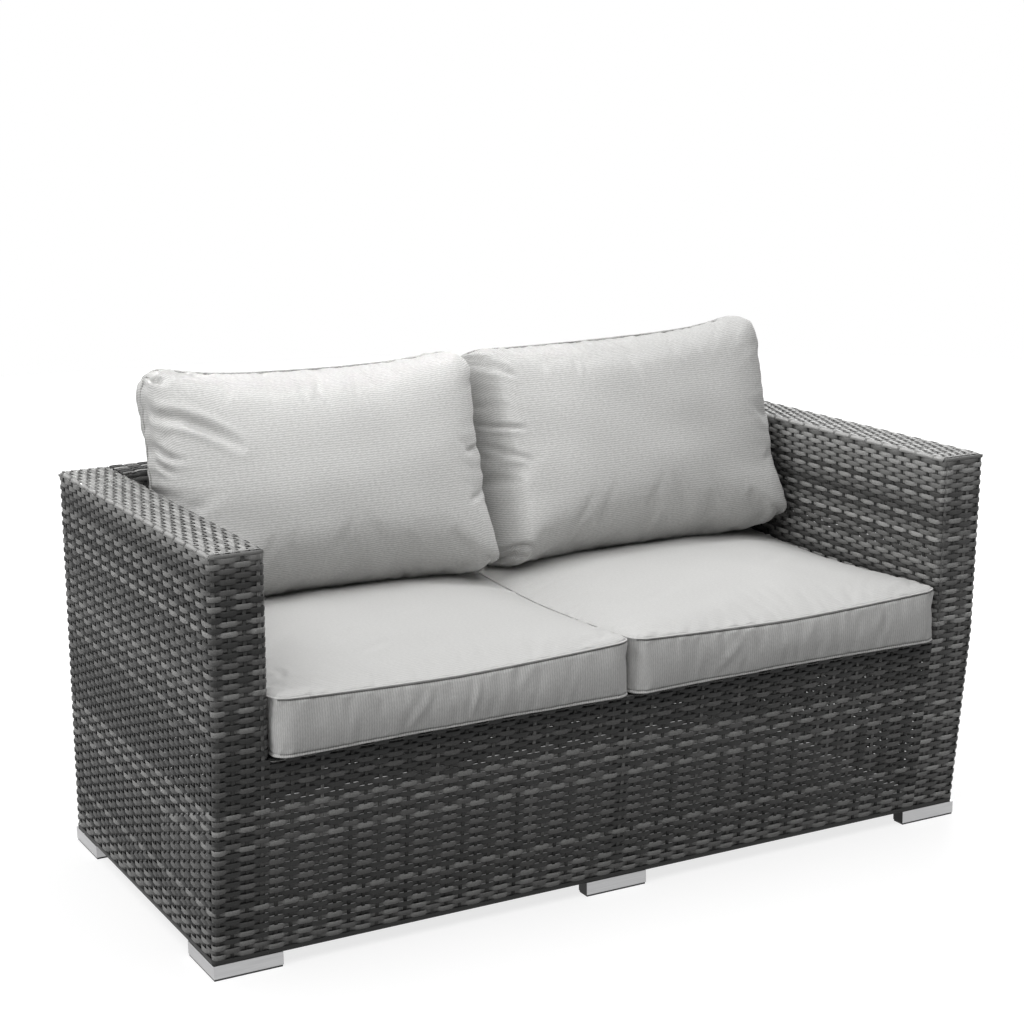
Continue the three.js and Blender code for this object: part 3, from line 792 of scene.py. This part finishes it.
def ripples(points, seed, shortest, longest, count=28):
    """Smooth irregular waves about nought, from a sum of plane waves in all directions."""
    chance = np.random.default_rng(seed)
    total = 0
    for _ in range(count):
        heading = chance.normal(size=points.shape[1])
        heading /= np.linalg.norm(heading)
        length = chance.uniform(shortest, longest) * MM
        total = total + np.sin(points @ heading * 2 * math.pi / length + chance.uniform(0, 2 * math.pi))
    return total * math.sqrt(2 / count)


def seat_form(box):
    """Boxed cushion about its own middle, on the plane of its underside."""
    x, y, up = box[:, 0], box[:, 1], box[:, 2] / BOXING
    rim = np.minimum(PAD_HALF_X - abs(x), PAD_HALF_Y - abs(y))
    x, y = rounded_plan(x, y, PAD_HALF_X, PAD_HALF_Y, SEAT_CORNER)
    bulge = 6 * np.sin(math.pi * up)
    x, y = drawn_in(x, y, PAD_HALF_X, PAD_HALF_Y, 0.5 * MM, (8 - bulge) * MM)
    corner = (abs(x) / PAD_HALF_X * abs(y) / PAD_HALF_Y) ** 1.5
    seam = SEAT_SEAM + CORNER_RISE * corner
    base = SEAT_FOOT * np.exp(-rim / (7 * MM))
    swell = SEAT_PUFF * (1 - np.exp(-rim / (14 * MM))) + SEAT_CROWN * crown(x, y, PAD_HALF_X, PAD_HALF_Y)
    pressed = PRESSED / (1 + np.exp(-(y - PRESSED_FROM) / PRESSED_OVER)) * np.minimum(rim / (40 * MM), 1)
    z = base + (seam - base) * up + np.where(up > 0.999, swell - pressed, 0)
    return np.stack([x, y, z], -1)


def back_form(box):
    """Pillow with one seam round its rim, standing on its lower edge, with its front towards -y."""
    across, deep, up = box.T
    foot_share = (BACK_HALF_Z - up) / (2 * BACK_HALF_Z)
    power = RIM_POWER + FULLER_END_POWER * (abs(across) / PAD_HALF_X) ** 3 * (0.3 + 0.7 * foot_share)
    start = np.arcsin(np.clip(abs(deep) / BACK_HALF_DEPTH, 0, 1) ** (power / 2))

    def inset(distance, rim):
        share = np.minimum(distance / rim, 1)
        turn = start + (math.pi / 2 - start) * share
        return np.where(share < 1, rim * (1 - np.cos(turn) ** (2 / power)), distance), turn
    inset_x, turn_x = inset(PAD_HALF_X - abs(across), BACK_RIM)
    inset_z, turn_z = inset(BACK_HALF_Z - abs(up), np.where(up < 0, BACK_FOOT_RIM, BACK_RIM))
    side_x, side_z = np.sign(across) * (PAD_HALF_X - inset_x), np.sign(up) * (BACK_HALF_Z - inset_z)
    x, z = rounded_plan(side_x, side_z, PAD_HALF_X, BACK_HALF_Z, BACK_RIM)
    x, z = drawn_in(x, z, PAD_HALF_X, BACK_HALF_Z, 3 * MM, 9 * MM)
    front, height = deep < 0, z / BACK_HALF_Z
    settled = np.where(front, RIGHT_FILLING * (x / PAD_HALF_X / 2 + 0.5) ** 2 - SETTLED * height, 0)
    depth = (BACK_HALF_DEPTH + settled) * np.sin(np.minimum(turn_x, turn_z)) ** (2 / power)
    above = (height - LOW_CENTRE) * (1 + LOW_CENTRE) / (1 - LOW_CENTRE)
    lowered = np.where(height < LOW_CENTRE, height - LOW_CENTRE, above)
    swell = crown(x, lowered * BACK_HALF_Z / (1 + LOW_CENTRE), PAD_HALF_X, BACK_HALF_Z)
    y = np.sign(deep) * (depth + swell * np.where(front, FRONT_CROWN, REAR_CROWN))
    return np.stack([x, y, z + BACK_HALF_Z], -1)


def edge_stations(half, fine, step):
    """Stations from -half to half, close together at the given distances from each end."""
    inner = half - fine[-1] * MM
    count = round(2 * inner / (step * MM))
    low = [-half + d * MM for d in fine[:-1]]
    return [*low, *np.linspace(-inner, inner, count + 1), *[-v for v in reversed(low)]]


def cubic_weights(t):
    return np.stack([
        -t ** 3 / 2 + t ** 2 - t / 2, 1.5 * t ** 3 - 2.5 * t ** 2 + 1,
        -1.5 * t ** 3 + 2 * t ** 2 + t / 2, t ** 3 / 2 - t ** 2 / 2,
    ])


def cubic_matrix(fine, coarse):
    """Weights that read a smooth curve through the coarse stations at the fine ones."""
    at = np.interp(fine, coarse, np.arange(len(coarse)))
    low = np.clip(np.floor(at).astype(int), 0, len(coarse) - 2)
    matrix = np.zeros((len(fine), len(coarse)))
    for k, weights in enumerate(cubic_weights(at - low)):
        matrix[np.arange(len(fine)), np.clip(low + k - 1, 0, len(coarse) - 1)] += weights
    return matrix


def carried_over(moves, coarse_lattice, coarse, lattice, fine):
    """Moves of a coarse lattice's vertices, carried over smoothly to those of a fine one."""
    filled, result = (np.zeros((*map(len, stations), 3)) for stations in (coarse, fine))
    filled[tuple(coarse_lattice.T)] = moves
    matrices = [cubic_matrix(*pair) for pair in zip(fine, coarse)]
    for fixed in range(3):
        first, second = [matrices[axis] for axis in range(3) if axis != fixed]
        for end in (0, -1):
            face = np.moveaxis(filled, fixed, 0)[end]
            np.moveaxis(result, fixed, 0)[end] = np.einsum("ai,bj,ijk->abk", first, second, face)
    return result[tuple(lattice.T)]


def swollen(stations, form, held, growth, most):
    """How far each vertex of a cover moves when it fills under pressure, as simulated cloth."""
    mesh, lattice = box_lattice(stations)
    start = form(places_in(lattice, stations))
    move_points(mesh, start)
    piece = placed("swelling", mesh)
    group = piece.vertex_groups.new(name="held")
    for index, weight in enumerate(held(places_in(lattice, stations))):
        group.add([index], float(weight), "REPLACE")
    cloth = piece.modifiers.new("swelling", "CLOTH")
    cloth.point_cache.frame_start, cloth.point_cache.frame_end = 1, SWELL_FRAMES
    for key, value in {**CLOTH, "vertex_group_mass": group.name, "shrink_min": -growth}.items():
        setattr(cloth.settings, key, value)
    cloth.settings.effector_weights.gravity = 0
    for frame_number in range(1, SWELL_FRAMES + 1):
        bpy.context.scene.frame_set(frame_number)
    after = piece.evaluated_get(bpy.context.evaluated_depsgraph_get()).to_mesh()
    moves = points_of(after) - start
    bpy.data.objects.remove(piece)
    bpy.data.meshes.remove(mesh)
    bpy.context.scene.frame_set(1)
    size = np.linalg.norm(moves, axis=1, keepdims=True)
    return moves * most / (most + size), lattice


def keep_in(points, limit, softness):
    """Flattens what would pass a limit on either side, as a cushion does against its neighbour."""
    over = softness * np.logaddexp(0, (abs(points[:, 0]) - limit) / softness)
    points[:, 0] = np.sign(points[:, 0]) * (abs(points[:, 0]) - over)


def relieved(mesh, points, relief):
    """Points of a filled cover between its neighbours, moved outwards by its relief in millimetres."""
    keep_in(points, PAD_HALF_X, 1.2 * MM)
    move_points(mesh, points)
    return points + points_of(mesh, "normal") * (relief * MM)[:, None]


def along_line(x, z, points):
    """Distance from a line of points, and how far along it, from 0 to 1, the nearest place is."""
    ends = np.array(points) * MM
    lengths = np.linalg.norm(np.diff(ends, axis=0), axis=1)
    best, share = np.full(len(x), 1e9), np.zeros(len(x))
    for start, end, length, before in zip(ends[:-1], ends[1:], lengths, np.cumsum([0, *lengths])):
        step_x, step_z = end - start
        part = np.clip(((x - start[0]) * step_x + (z - start[1]) * step_z) / length ** 2, 0, 1)
        distance = np.hypot(x - start[0] - part * step_x, z - start[1] - part * step_z)
        nearer = distance < best
        best = np.where(nearer, distance, best)
        share = np.where(nearer, (before + part * length) / lengths.sum(), share)
    return best, share


def fold(x, z, points, depth, width):
    """Valley along a line of points, deepest at its middle, with a low swell on both sides."""
    distance, share = along_line(x, z, points)
    near = distance / (width * MM)
    taper = np.sin(math.pi * (0.08 + 0.84 * share))
    return -depth * taper * (bell(near, 1) - 0.45 * bell(near - 1.7, 0.9))


def gathers(outline, halves, seed, shortest, longest, shift=0):
    """Waves that run in from the seam, each on its line towards the middle."""
    inward = np.maximum(np.abs(outline / halves).max(axis=1), TINY)[:, None]
    return ripples(outline / inward + shift, seed, shortest, longest)


def seam_reach(box):
    """How far in from each side a place on a back cushion's box is, and how far from the seam."""
    out_x, out_z = PAD_HALF_X - abs(box[:, 0]), BACK_HALF_Z - abs(box[:, 2])
    edge = np.minimum(out_x, out_z)
    return out_x, out_z, np.where(edge < TINY, abs(box[:, 1]), RIM_WALL + edge)


def seat_relief(box, seed, folds):
    """Seams, gathers beside them and slow unevenness of a seat cushion, in millimetres outwards."""
    x, y, level = box.T / MM
    half_x, half_y, boxing = PAD_HALF_X / MM, PAD_HALF_Y / MM, BOXING / MM
    rim = np.minimum(half_x - abs(x), half_y - abs(y))
    on_top, below = level > boxing - 0.01, level < 0.01
    from_seam = np.where(on_top, rim, level - boxing) * MM
    groove = np.where(half_x - abs(x) < half_y - abs(y), 0.2, 1.0)
    relief = 0.9 * bump_at(from_seam, 0, 1.2) - groove * (
        1.8 * bump_at(from_seam, -2.6, 1.4) + 1.2 * bump_at(from_seam, 2.6, 1.2))
    from_foot = np.where(below, -rim, level) * MM
    relief = relief + 0.9 * bump_at(from_foot, 1.2, 1.3) - 1.5 * bump_at(from_foot, 4.6, 1.2)
    waves = gathers(np.stack([x, y], -1) * MM, [PAD_HALF_X, PAD_HALF_Y], seed, 13, 40)
    fade = np.exp(-abs(from_seam) / (17 * MM)) * (1 - bell(from_seam, 3 * MM))
    relief = relief + waves * fade * np.where(on_top, 1.6 - 0.7 * groove, 1.1)
    relief = relief + 0.6 * ripples(box, seed + 1, 60, 170) * np.clip(abs(from_seam) / (30 * MM), 0, 1)
    on_front = ~on_top & ~below & (y < 1e-3 - half_y)
    for here, second, lines in ((on_front, level, folds[0]), (on_top, y, folds[1])):
        for depth, width, *points in lines:
            relief = relief + np.where(here, fold(x * MM, second * MM, points, depth, width), 0)
    return np.where(below, 0.2 * relief, relief)


def back_relief(box, seed, folds):
    """Seam round the rim, gathers beside it, tucks and folds of a back cushion, in millimetres outwards."""
    x, y, z = box.T
    out_x, out_z, reach = seam_reach(box)
    relief = 1.7 * bump_at(reach, 0, 1.3) - 1.4 * bump_at(reach, 3.3, 1.1)
    other_side = np.where(y < 0, 0, 50)[:, None]
    waves = gathers(np.stack([x, z], -1), [PAD_HALF_X, BACK_HALF_Z], seed, 16, 52, other_side)
    strength = np.where(out_x < out_z, 2.3, 1.3)
    relief = relief + strength * waves * np.exp(-reach / (38 * MM)) * (1 - bell(reach, 4 * MM))
    slow = ripples(np.stack([x, y * 0, z], -1), seed + 1, 90, 240)
    relief = relief + 1.3 * slow * np.clip(reach / (50 * MM), 0, 1)
    front = y < 0
    for depth, width, *points in folds:
        relief = relief + np.where(front, fold(x, z + BACK_HALF_Z, points, 2.2 * depth, 0.9 * width), 0)
    return relief


# Folds of the back cushions, in millimetres: depth, width, and points by x and height
LEFT_FOLDS = [
    (4.6, 10, (-308, 352), (-298, 338), (-262, 328), (-222, 314), (-195, 298), (-170, 280)),
    (4.0, 5, (-306, 393), (-292, 389), (-274, 382)),
    (2.5, 4, (-276, 402), (-272, 386)),
    (3.2, 5, (-313, 290), (-299, 280), (-272, 262)),
    (2.8, 5, (-313, 264), (-283, 243)),
    (1.5, 6, (-37, 392), (-27, 345)),
    (1.5, 6, (6, 385), (-14, 351)),
    (1.6, 6, (84, 396), (72, 380), (67, 358), (76, 340)),
    (1.6, 5, (298, 160), (276, 150), (250, 138)),
    (1.6, 5, (300, 243), (279, 236), (262, 228)),
    (2.2, 4, (306, 395), (303, 380), (306, 368)),
]
RIGHT_FOLDS = [
    (3.6, 5, (-302, 401), (-284, 391), (-258, 377)),
    (4.2, 6, (-302, 388), (-280, 378), (-238, 356)),
    (3.4, 5, (-300, 272), (-275, 265), (-240, 257)),
    (2.0, 6, (-292, 236), (-268, 212), (-244, 198)),
    (3.6, 5, (-296, 66), (-274, 73), (-256, 62)),
    (3.2, 4.5, (-292, 32), (-274, 43), (-258, 50)),
    (1.5, 6, (-105, 388), (-113, 350)),
]


# How each back cushion has settled, in millimetres: how far its top corners stand up, left and right; how
# much lower its top lies at the right than at the left, and in the middle; how far its left side has drawn
# in; how far its left end has sunk behind its neighbour; how far its lower right corner is lifted
Settling = collections.namedtuple("Settling", "ears tilt sag narrowing sinking lift")
LEFT_SETTLING = Settling((11, 7), 6, 2, 17, 0, 0)
RIGHT_SETTLING = Settling((1, 15), -5, -4, 2, 122, 17)

# Folds of the seat cushions in the same way: on the front wall by x and height, and on the top by x and y
LEFT_SEAT_FOLDS = [
    (-3.2, 6, (-46, 84), (-64, 52), (-92, 16)),
    (-3.0, 5, (36, 84), (26, 50), (14, 12)),
    (-1.6, 6, (-140, 84), (-150, 60)),
    (-1.4, 7, (130, 84), (100, 50)),
    (-1.4, 7, (-230, 84), (-225, 50)),
], [
    (2.2, 13, (-160, -160), (-100, -120), (-60, -130)),
    (2.0, 10, (-120, -215), (-60, -190)),
    (1.6, 14, (-240, -120), (-170, -60)),
    (1.4, 12, (0, -80), (70, -50)),
    (3.0, 6, (-270, -255), (-262, -225), (-266, -200)),
]
RIGHT_SEAT_FOLDS = [
    (-2.6, 6, (-90, 84), (-115, 55), (-155, 20)),
    (-1.5, 7, (50, 84), (30, 50)),
    (-1.5, 8, (200, 84), (170, 40)),
], [
    (1.7, 12, (-200, -180), (-130, -150)),
    (1.7, 14, (100, -100), (180, -40)),
    (1.4, 14, (-50, 0), (60, 30)),
]


# What a cushion's cover is made from: stations of its fine and coarse lattice, form, held places, growth
# of the cloth, and the cap on how far a point may move
Pad = collections.namedtuple("Pad", "fine coarse form held growth most")


def cover(pad):
    """Mesh of a cushion's cover, its lattice and box places, and its points once filled."""
    mesh, lattice = box_lattice(pad.fine)
    box = places_in(lattice, pad.fine)
    points = pad.form(box)
    moves, coarse_lattice = swollen(pad.coarse, pad.form, pad.held, pad.growth, pad.most)
    points = points + carried_over(moves, coarse_lattice, pad.coarse, lattice, pad.fine)
    return mesh, lattice, box, points


EDGE_STEPS = [0, 1, 2, 3, 4.2, 5.5, 7, 9, 12, 16, 21]
BOXING_LEVELS = [
    0, 0.8, 1.6, 2.6, 3.8, 4.8, 5.8, 7.5, 10, 15, 25, 35, 45, 55, 65, 75, 80, 84, 86, 87.6, 88.7, 90]
RIM_LEVELS = [0, 1, 2.2, 3.4, 5, 8, 12, 18, 26]


def even_stations(half, step):
    return list(np.linspace(-half, half, round(2 * half / (step * MM)) + 1))


def seat_held(box):
    """Holds the cover at its upper seam and its underside."""
    rim = np.minimum(PAD_HALF_X - abs(box[:, 0]), PAD_HALF_Y - abs(box[:, 1]))
    seam = (rim < TINY) & (box[:, 2] > BOXING - TINY)
    return np.where(seam | (box[:, 2] < TINY), 1.0, 0.0)


def back_held(box):
    """Holds the cover at the seam round its rim."""
    return np.where(seam_reach(box)[2] < TINY, 1.0, 0.0)


SEAT_PAD = Pad(
    [edge_stations(PAD_HALF_X, EDGE_STEPS, 5.5), edge_stations(PAD_HALF_Y, EDGE_STEPS, 5.5),
     [level * MM for level in BOXING_LEVELS]],
    [even_stations(PAD_HALF_X, 8), even_stations(PAD_HALF_Y, 8), list(np.linspace(0, BOXING, 12))],
    seat_form, seat_held, 0.008, 20 * MM)
BACK_PAD = Pad(
    [edge_stations(PAD_HALF_X, EDGE_STEPS, 5),
     [-v * MM for v in reversed(RIM_LEVELS)] + [v * MM for v in RIM_LEVELS[1:]],
     edge_stations(BACK_HALF_Z, EDGE_STEPS, 5)],
    [even_stations(PAD_HALF_X, 8), even_stations(RIM_WALL, 8.7), even_stations(BACK_HALF_Z, 8)],
    back_form, back_held, 0.02, 26 * MM)


def finish_cushion(mesh, points, side_name, kind, fill, material, **threads):
    move_points(mesh, points)
    for key, values in threads.items():
        layer = mesh.attributes.new(key, "FLOAT", "POINT")
        layer.data.foreach_set("value", np.ascontiguousarray(values, dtype=float))
    mesh.name = f"{side_name}_{kind}_pad"
    piece = fitted(mesh.name, mesh, [True] * len(mesh.polygons), f"{side_name}_{kind}",
                   [f"{side_name}_{kind}_cushion"], material)


def sew_seat(side_name, sign, seed, folds, material):
    mesh, _, box, points = cover(SEAT_PAD)
    points = relieved(mesh, points, seat_relief(box, seed, folds))
    keep_in(points, PAD_HALF_X + 0.75 * MM, 0.3 * MM)
    points = points + np.array([sign * PAD_MIDDLE_X, PAD_MIDDLE_Y, SEAT_LOW.z])
    on_top = box[:, 2] > BOXING - TINY
    from_side = PAD_HALF_Y - abs(box[:, 1])
    rib = np.where(on_top, box[:, 0], box[:, 2])
    along = np.where(on_top, box[:, 1], box[:, 0] + np.sign(box[:, 0]) * from_side)
    # Painted shade in the grooves just under the upper seam and just above the underside, on the front and
    # rear walls
    crease = bump_at(box[:, 2] - BOXING, -2.4, 1.1) + 0.7 * bump_at(box[:, 2], 4.3, 1.0)
    crease[~on_top & (from_side > TINY)] = 0
    finish_cushion(mesh, points, side_name, "seat", 0.8, material,
                   rib=rib + sign, along=along, crease=crease, upright=np.where(on_top, 0.3, 0.6))


# How far the ears, the slumped foot, the sunk end and the lifted corner of a back cushion reach
EAR_REACH, SLUMP_REACH, SLUMP_HEIGHT, SUNK_REACH, LIFT_REACH = 95 * MM, 85 * MM, 130 * MM, 60 * MM, 90 * MM
# How much darker the cloth is drawn where it is sunk, for each millimetre
SUNK_SHADE = 1 / 600


def settle(points, settling):
    """Moves a back cushion's points to where it has settled, and tells how far each is in its sunk end."""
    x, y, z = points.T
    height, middle = z / (2 * BACK_HALF_Z), x / PAD_HALF_X
    z -= np.clip(height, 0, 1) ** 2 * (settling.tilt * middle + settling.sag * (1 - middle ** 2)) * MM
    for end, ear in zip((-1, 1), settling.ears):
        beside = abs(x - end * PAD_HALF_X)
        z += ear * MM * bell(np.hypot(beside, z - 2 * BACK_HALF_Z), EAR_REACH)
        slumped = bell(beside, SLUMP_REACH) * bell(z, SLUMP_HEIGHT)
        front_share = np.clip(0.5 - y / (2 * BACK_HALF_DEPTH), 0, 1)
        y -= (0.8 - 0.2 * end) * FOOT_SLUMP * slumped * front_share
    sunk = (1 - np.clip((x + PAD_HALF_X) / SUNK_REACH, 0, 1)) ** 2
    y += settling.sinking * MM * sunk * front_share
    z += settling.lift * MM * bell(np.hypot(x - PAD_HALF_X, z), LIFT_REACH)
    keep_in(points, PAD_HALF_X + 0.6 * MM, 0.9 * MM)
    x += settling.narrowing * MM * np.clip(0.5 - x / (2 * PAD_HALF_X), 0, 1) ** 2
    return sunk


def sew_back(side_name, sign, seed, folds, settling, material):
    mesh, lattice, box, points = cover(BACK_PAD)
    points = relieved(mesh, points, back_relief(box, seed, folds))
    sunk = settle(points, settling)
    out_x, out_z, reach = seam_reach(box)
    rib, along = cloth_lengths(lattice, points)
    wrap = RIM_WALL - abs(box[:, 1])
    rib = rib + np.sign(box[:, 0]) * np.where(out_x < TINY, wrap, 0)
    along = along + np.sign(box[:, 2]) * np.where(out_z < TINY, wrap, 0)
    reference = leaned_back(back_form(box))
    points = leaned_back(points) + np.array([
        sign * PAD_MIDDLE_X, BACK_HIGH.y - reference[:, 1].max(), BACK_LOW.z - reference[:, 2].min()])
    # Painted shade in the groove beside the rim seam, and in the sunk end, darker the further it is sunk
    crease = 0.8 * bump_at(reach, 2.8, 1.1) + settling.sinking * SUNK_SHADE * sunk
    finish_cushion(mesh, points, side_name, "back", 0.7, material,
                   rib=rib + sign, along=along, crease=crease, upright=np.ones(len(box)))


def cloth_lengths(lattice, points):
    """Lengths along the front of a back cushion's cover, across and upwards, at each of its vertices."""
    column, depth, row = lattice.T
    grid = np.zeros((column.max() + 1, row.max() + 1, 3))
    grid[column[depth == 0], row[depth == 0]] = points[depth == 0]
    across = np.cumsum(np.linalg.norm(np.diff(grid, axis=0, prepend=grid[:1]), axis=2), axis=0)
    upwards = np.cumsum(np.linalg.norm(np.diff(grid, axis=1, prepend=grid[:, :1]), axis=2), axis=1)
    across, upwards = across - across[len(grid) // 2], upwards - upwards[:, grid.shape[1] // 2, None]
    return across[column, row], upwards[column, row]


def leaned_back(points):
    """Tips a cushion that stands on the ground back by its lean."""
    x, y, z = points.T
    return np.stack([x, y * math.cos(LEAN) + z * math.sin(LEAN), z * math.cos(LEAN) - y * math.sin(LEAN)], -1)


def sew_cushions(material):
    sew_seat("left", -1, 11, LEFT_SEAT_FOLDS, material)
    sew_seat("right", 1, 23, RIGHT_SEAT_FOLDS, material)
    sew_back("left", -1, 37, LEFT_FOLDS, LEFT_SETTLING, material)
    sew_back("right", 1, 59, RIGHT_FOLDS, RIGHT_SETTLING, material)


# Camera, light and floor

LENS = 76.1
CAMERA_PLACE = Vector((-1.77116, -3.29426, 1.42767))
CAMERA_RIGHT = Vector((0.88100, -0.47285, -0.01602))
CAMERA_UP = Vector((0.11607, 0.18319, 0.97620))
FLOOR_SHADOW_REACH = (0.9, 2.2)
# Floor that lies in the body's shade, beneath it and close to it: low x, high x, low y and high y
SHADE = (-0.675, 0.78, -0.2, 0.46)
SHADE_EDGE = 0.02
FLOOR_RADIUS = 6
FLOOR_GREY = (0.26, 0.26, 0.26, 1)
WHITE = (1, 1, 1, 1)
# How bright the world, the floor beneath the body and the floor in its shade are, next to white
WORLD_GLOW, FLOOR_GLOW, SHADE_GLOW = 0.11, 0.77, 0.15


def place_camera():
    data = bpy.data.cameras.new("camera")
    data.lens, data.sensor_width = LENS, 36
    camera = placed("camera", data)
    right = CAMERA_RIGHT.normalized()
    up = (CAMERA_UP - right * CAMERA_UP.dot(right)).normalized()
    axes = Matrix((right, up, right.cross(up))).transposed()
    camera.matrix_world = Matrix.Translation(CAMERA_PLACE) @ axes.to_4x4()
    bpy.context.scene.camera = camera


def area_light(name, place, target, size, power, depth=None, spread=180):
    """Round lamp, or one as wide as its size and of its own depth, with its spread in degrees."""
    data = bpy.data.lights.new(name, "AREA")
    data.shape, data.size, data.energy = "RECTANGLE" if depth else "DISK", size, power
    data.size_y, data.spread = depth or size, math.radians(spread)
    lamp = placed(name, data)
    lamp.location = place
    lamp.rotation_euler = (Vector(target) - Vector(place)).to_track_quat("-Z", "Y").to_euler()


def light_stage():
    area_light("top_light", (-0.4, -0.3, 4.4), (-0.2, -0.1, 0.4), size=8.5, power=322)
    area_light("side_light", (-5.0, -1.0, 1.6), (0, 0, 0.5), size=2.0, power=72)
    area_light("rear_light", (3.4, 3.0, 2.6), (0, 0, 0.4), size=1.8, power=60)
    area_light("cushion_light", (-0.25, -1.0, 3.4), (-0.25, 0.2, 0.85), size=0.95, power=0.42,
               depth=0.15, spread=14)
    world = bpy.data.worlds.new("studio")
    bpy.context.scene.world = world
    tree = Tree(world, "Background")
    path = tree.add("LightPath", {})
    seen = tree.math("MAXIMUM", path["Is Camera Ray"], path["Is Transmission Ray"])
    seen = tree.math("MAXIMUM", seen, path["Is Glossy Ray"])
    tree.feed(tree.shader, {"Color": WHITE, "Strength": tree.mapped(seen, WORLD_GLOW, 1.0)})
    bpy.context.scene.view_settings.view_transform = "Standard"


def floor():
    """White to the camera and in reflections, with a real shadow, and dim in the body's own shade."""
    bm = bmesh.new()
    bmesh.ops.create_circle(bm, cap_ends=True, segments=96, radius=FLOOR_RADIUS)
    plane = placed("floor", mesh_from(bm, "floor"))
    material, tree = new_material("studio_floor")
    place = tree.own_place()
    distance = tree.add("VectorMath", {0: place}, operation="LENGTH")["Value"]
    glow = tree.mapped(distance, FLOOR_GLOW, 1.0, *FLOOR_SHADOW_REACH, "SMOOTHSTEP")
    path = tree.add("LightPath", {})
    seen = tree.math("MAXIMUM", path["Is Camera Ray"], path["Is Glossy Ray"])
    x, y, _ = tree.add("SeparateXYZ", {0: place})
    low_x, high_x, low_y, high_y = SHADE
    sides = [tree.math("SUBTRACT", *pair) for pair in ((low_x, x), (x, high_x), (low_y, y), (y, high_y))]
    farthest = sides[0]
    for side in sides[1:]:
        farthest = tree.math("MAXIMUM", farthest, side)
    clear = tree.mapped(farthest, SHADE_GLOW, 1.0, -SHADE_EDGE, SHADE_EDGE, "SMOOTHSTEP")
    tree.feed(tree.shader, {
        "Base Color": FLOOR_GREY, "Roughness": 0.9, "Emission Color": WHITE,
        "Emission Strength": tree.times(tree.times(seen, clear), glow)})
    plane.data.materials.append(material)


place_camera()
light_stage()
floor()
sew_cushions(fabric_material())
weave_body(strand_material())
dress_cad_nodes()
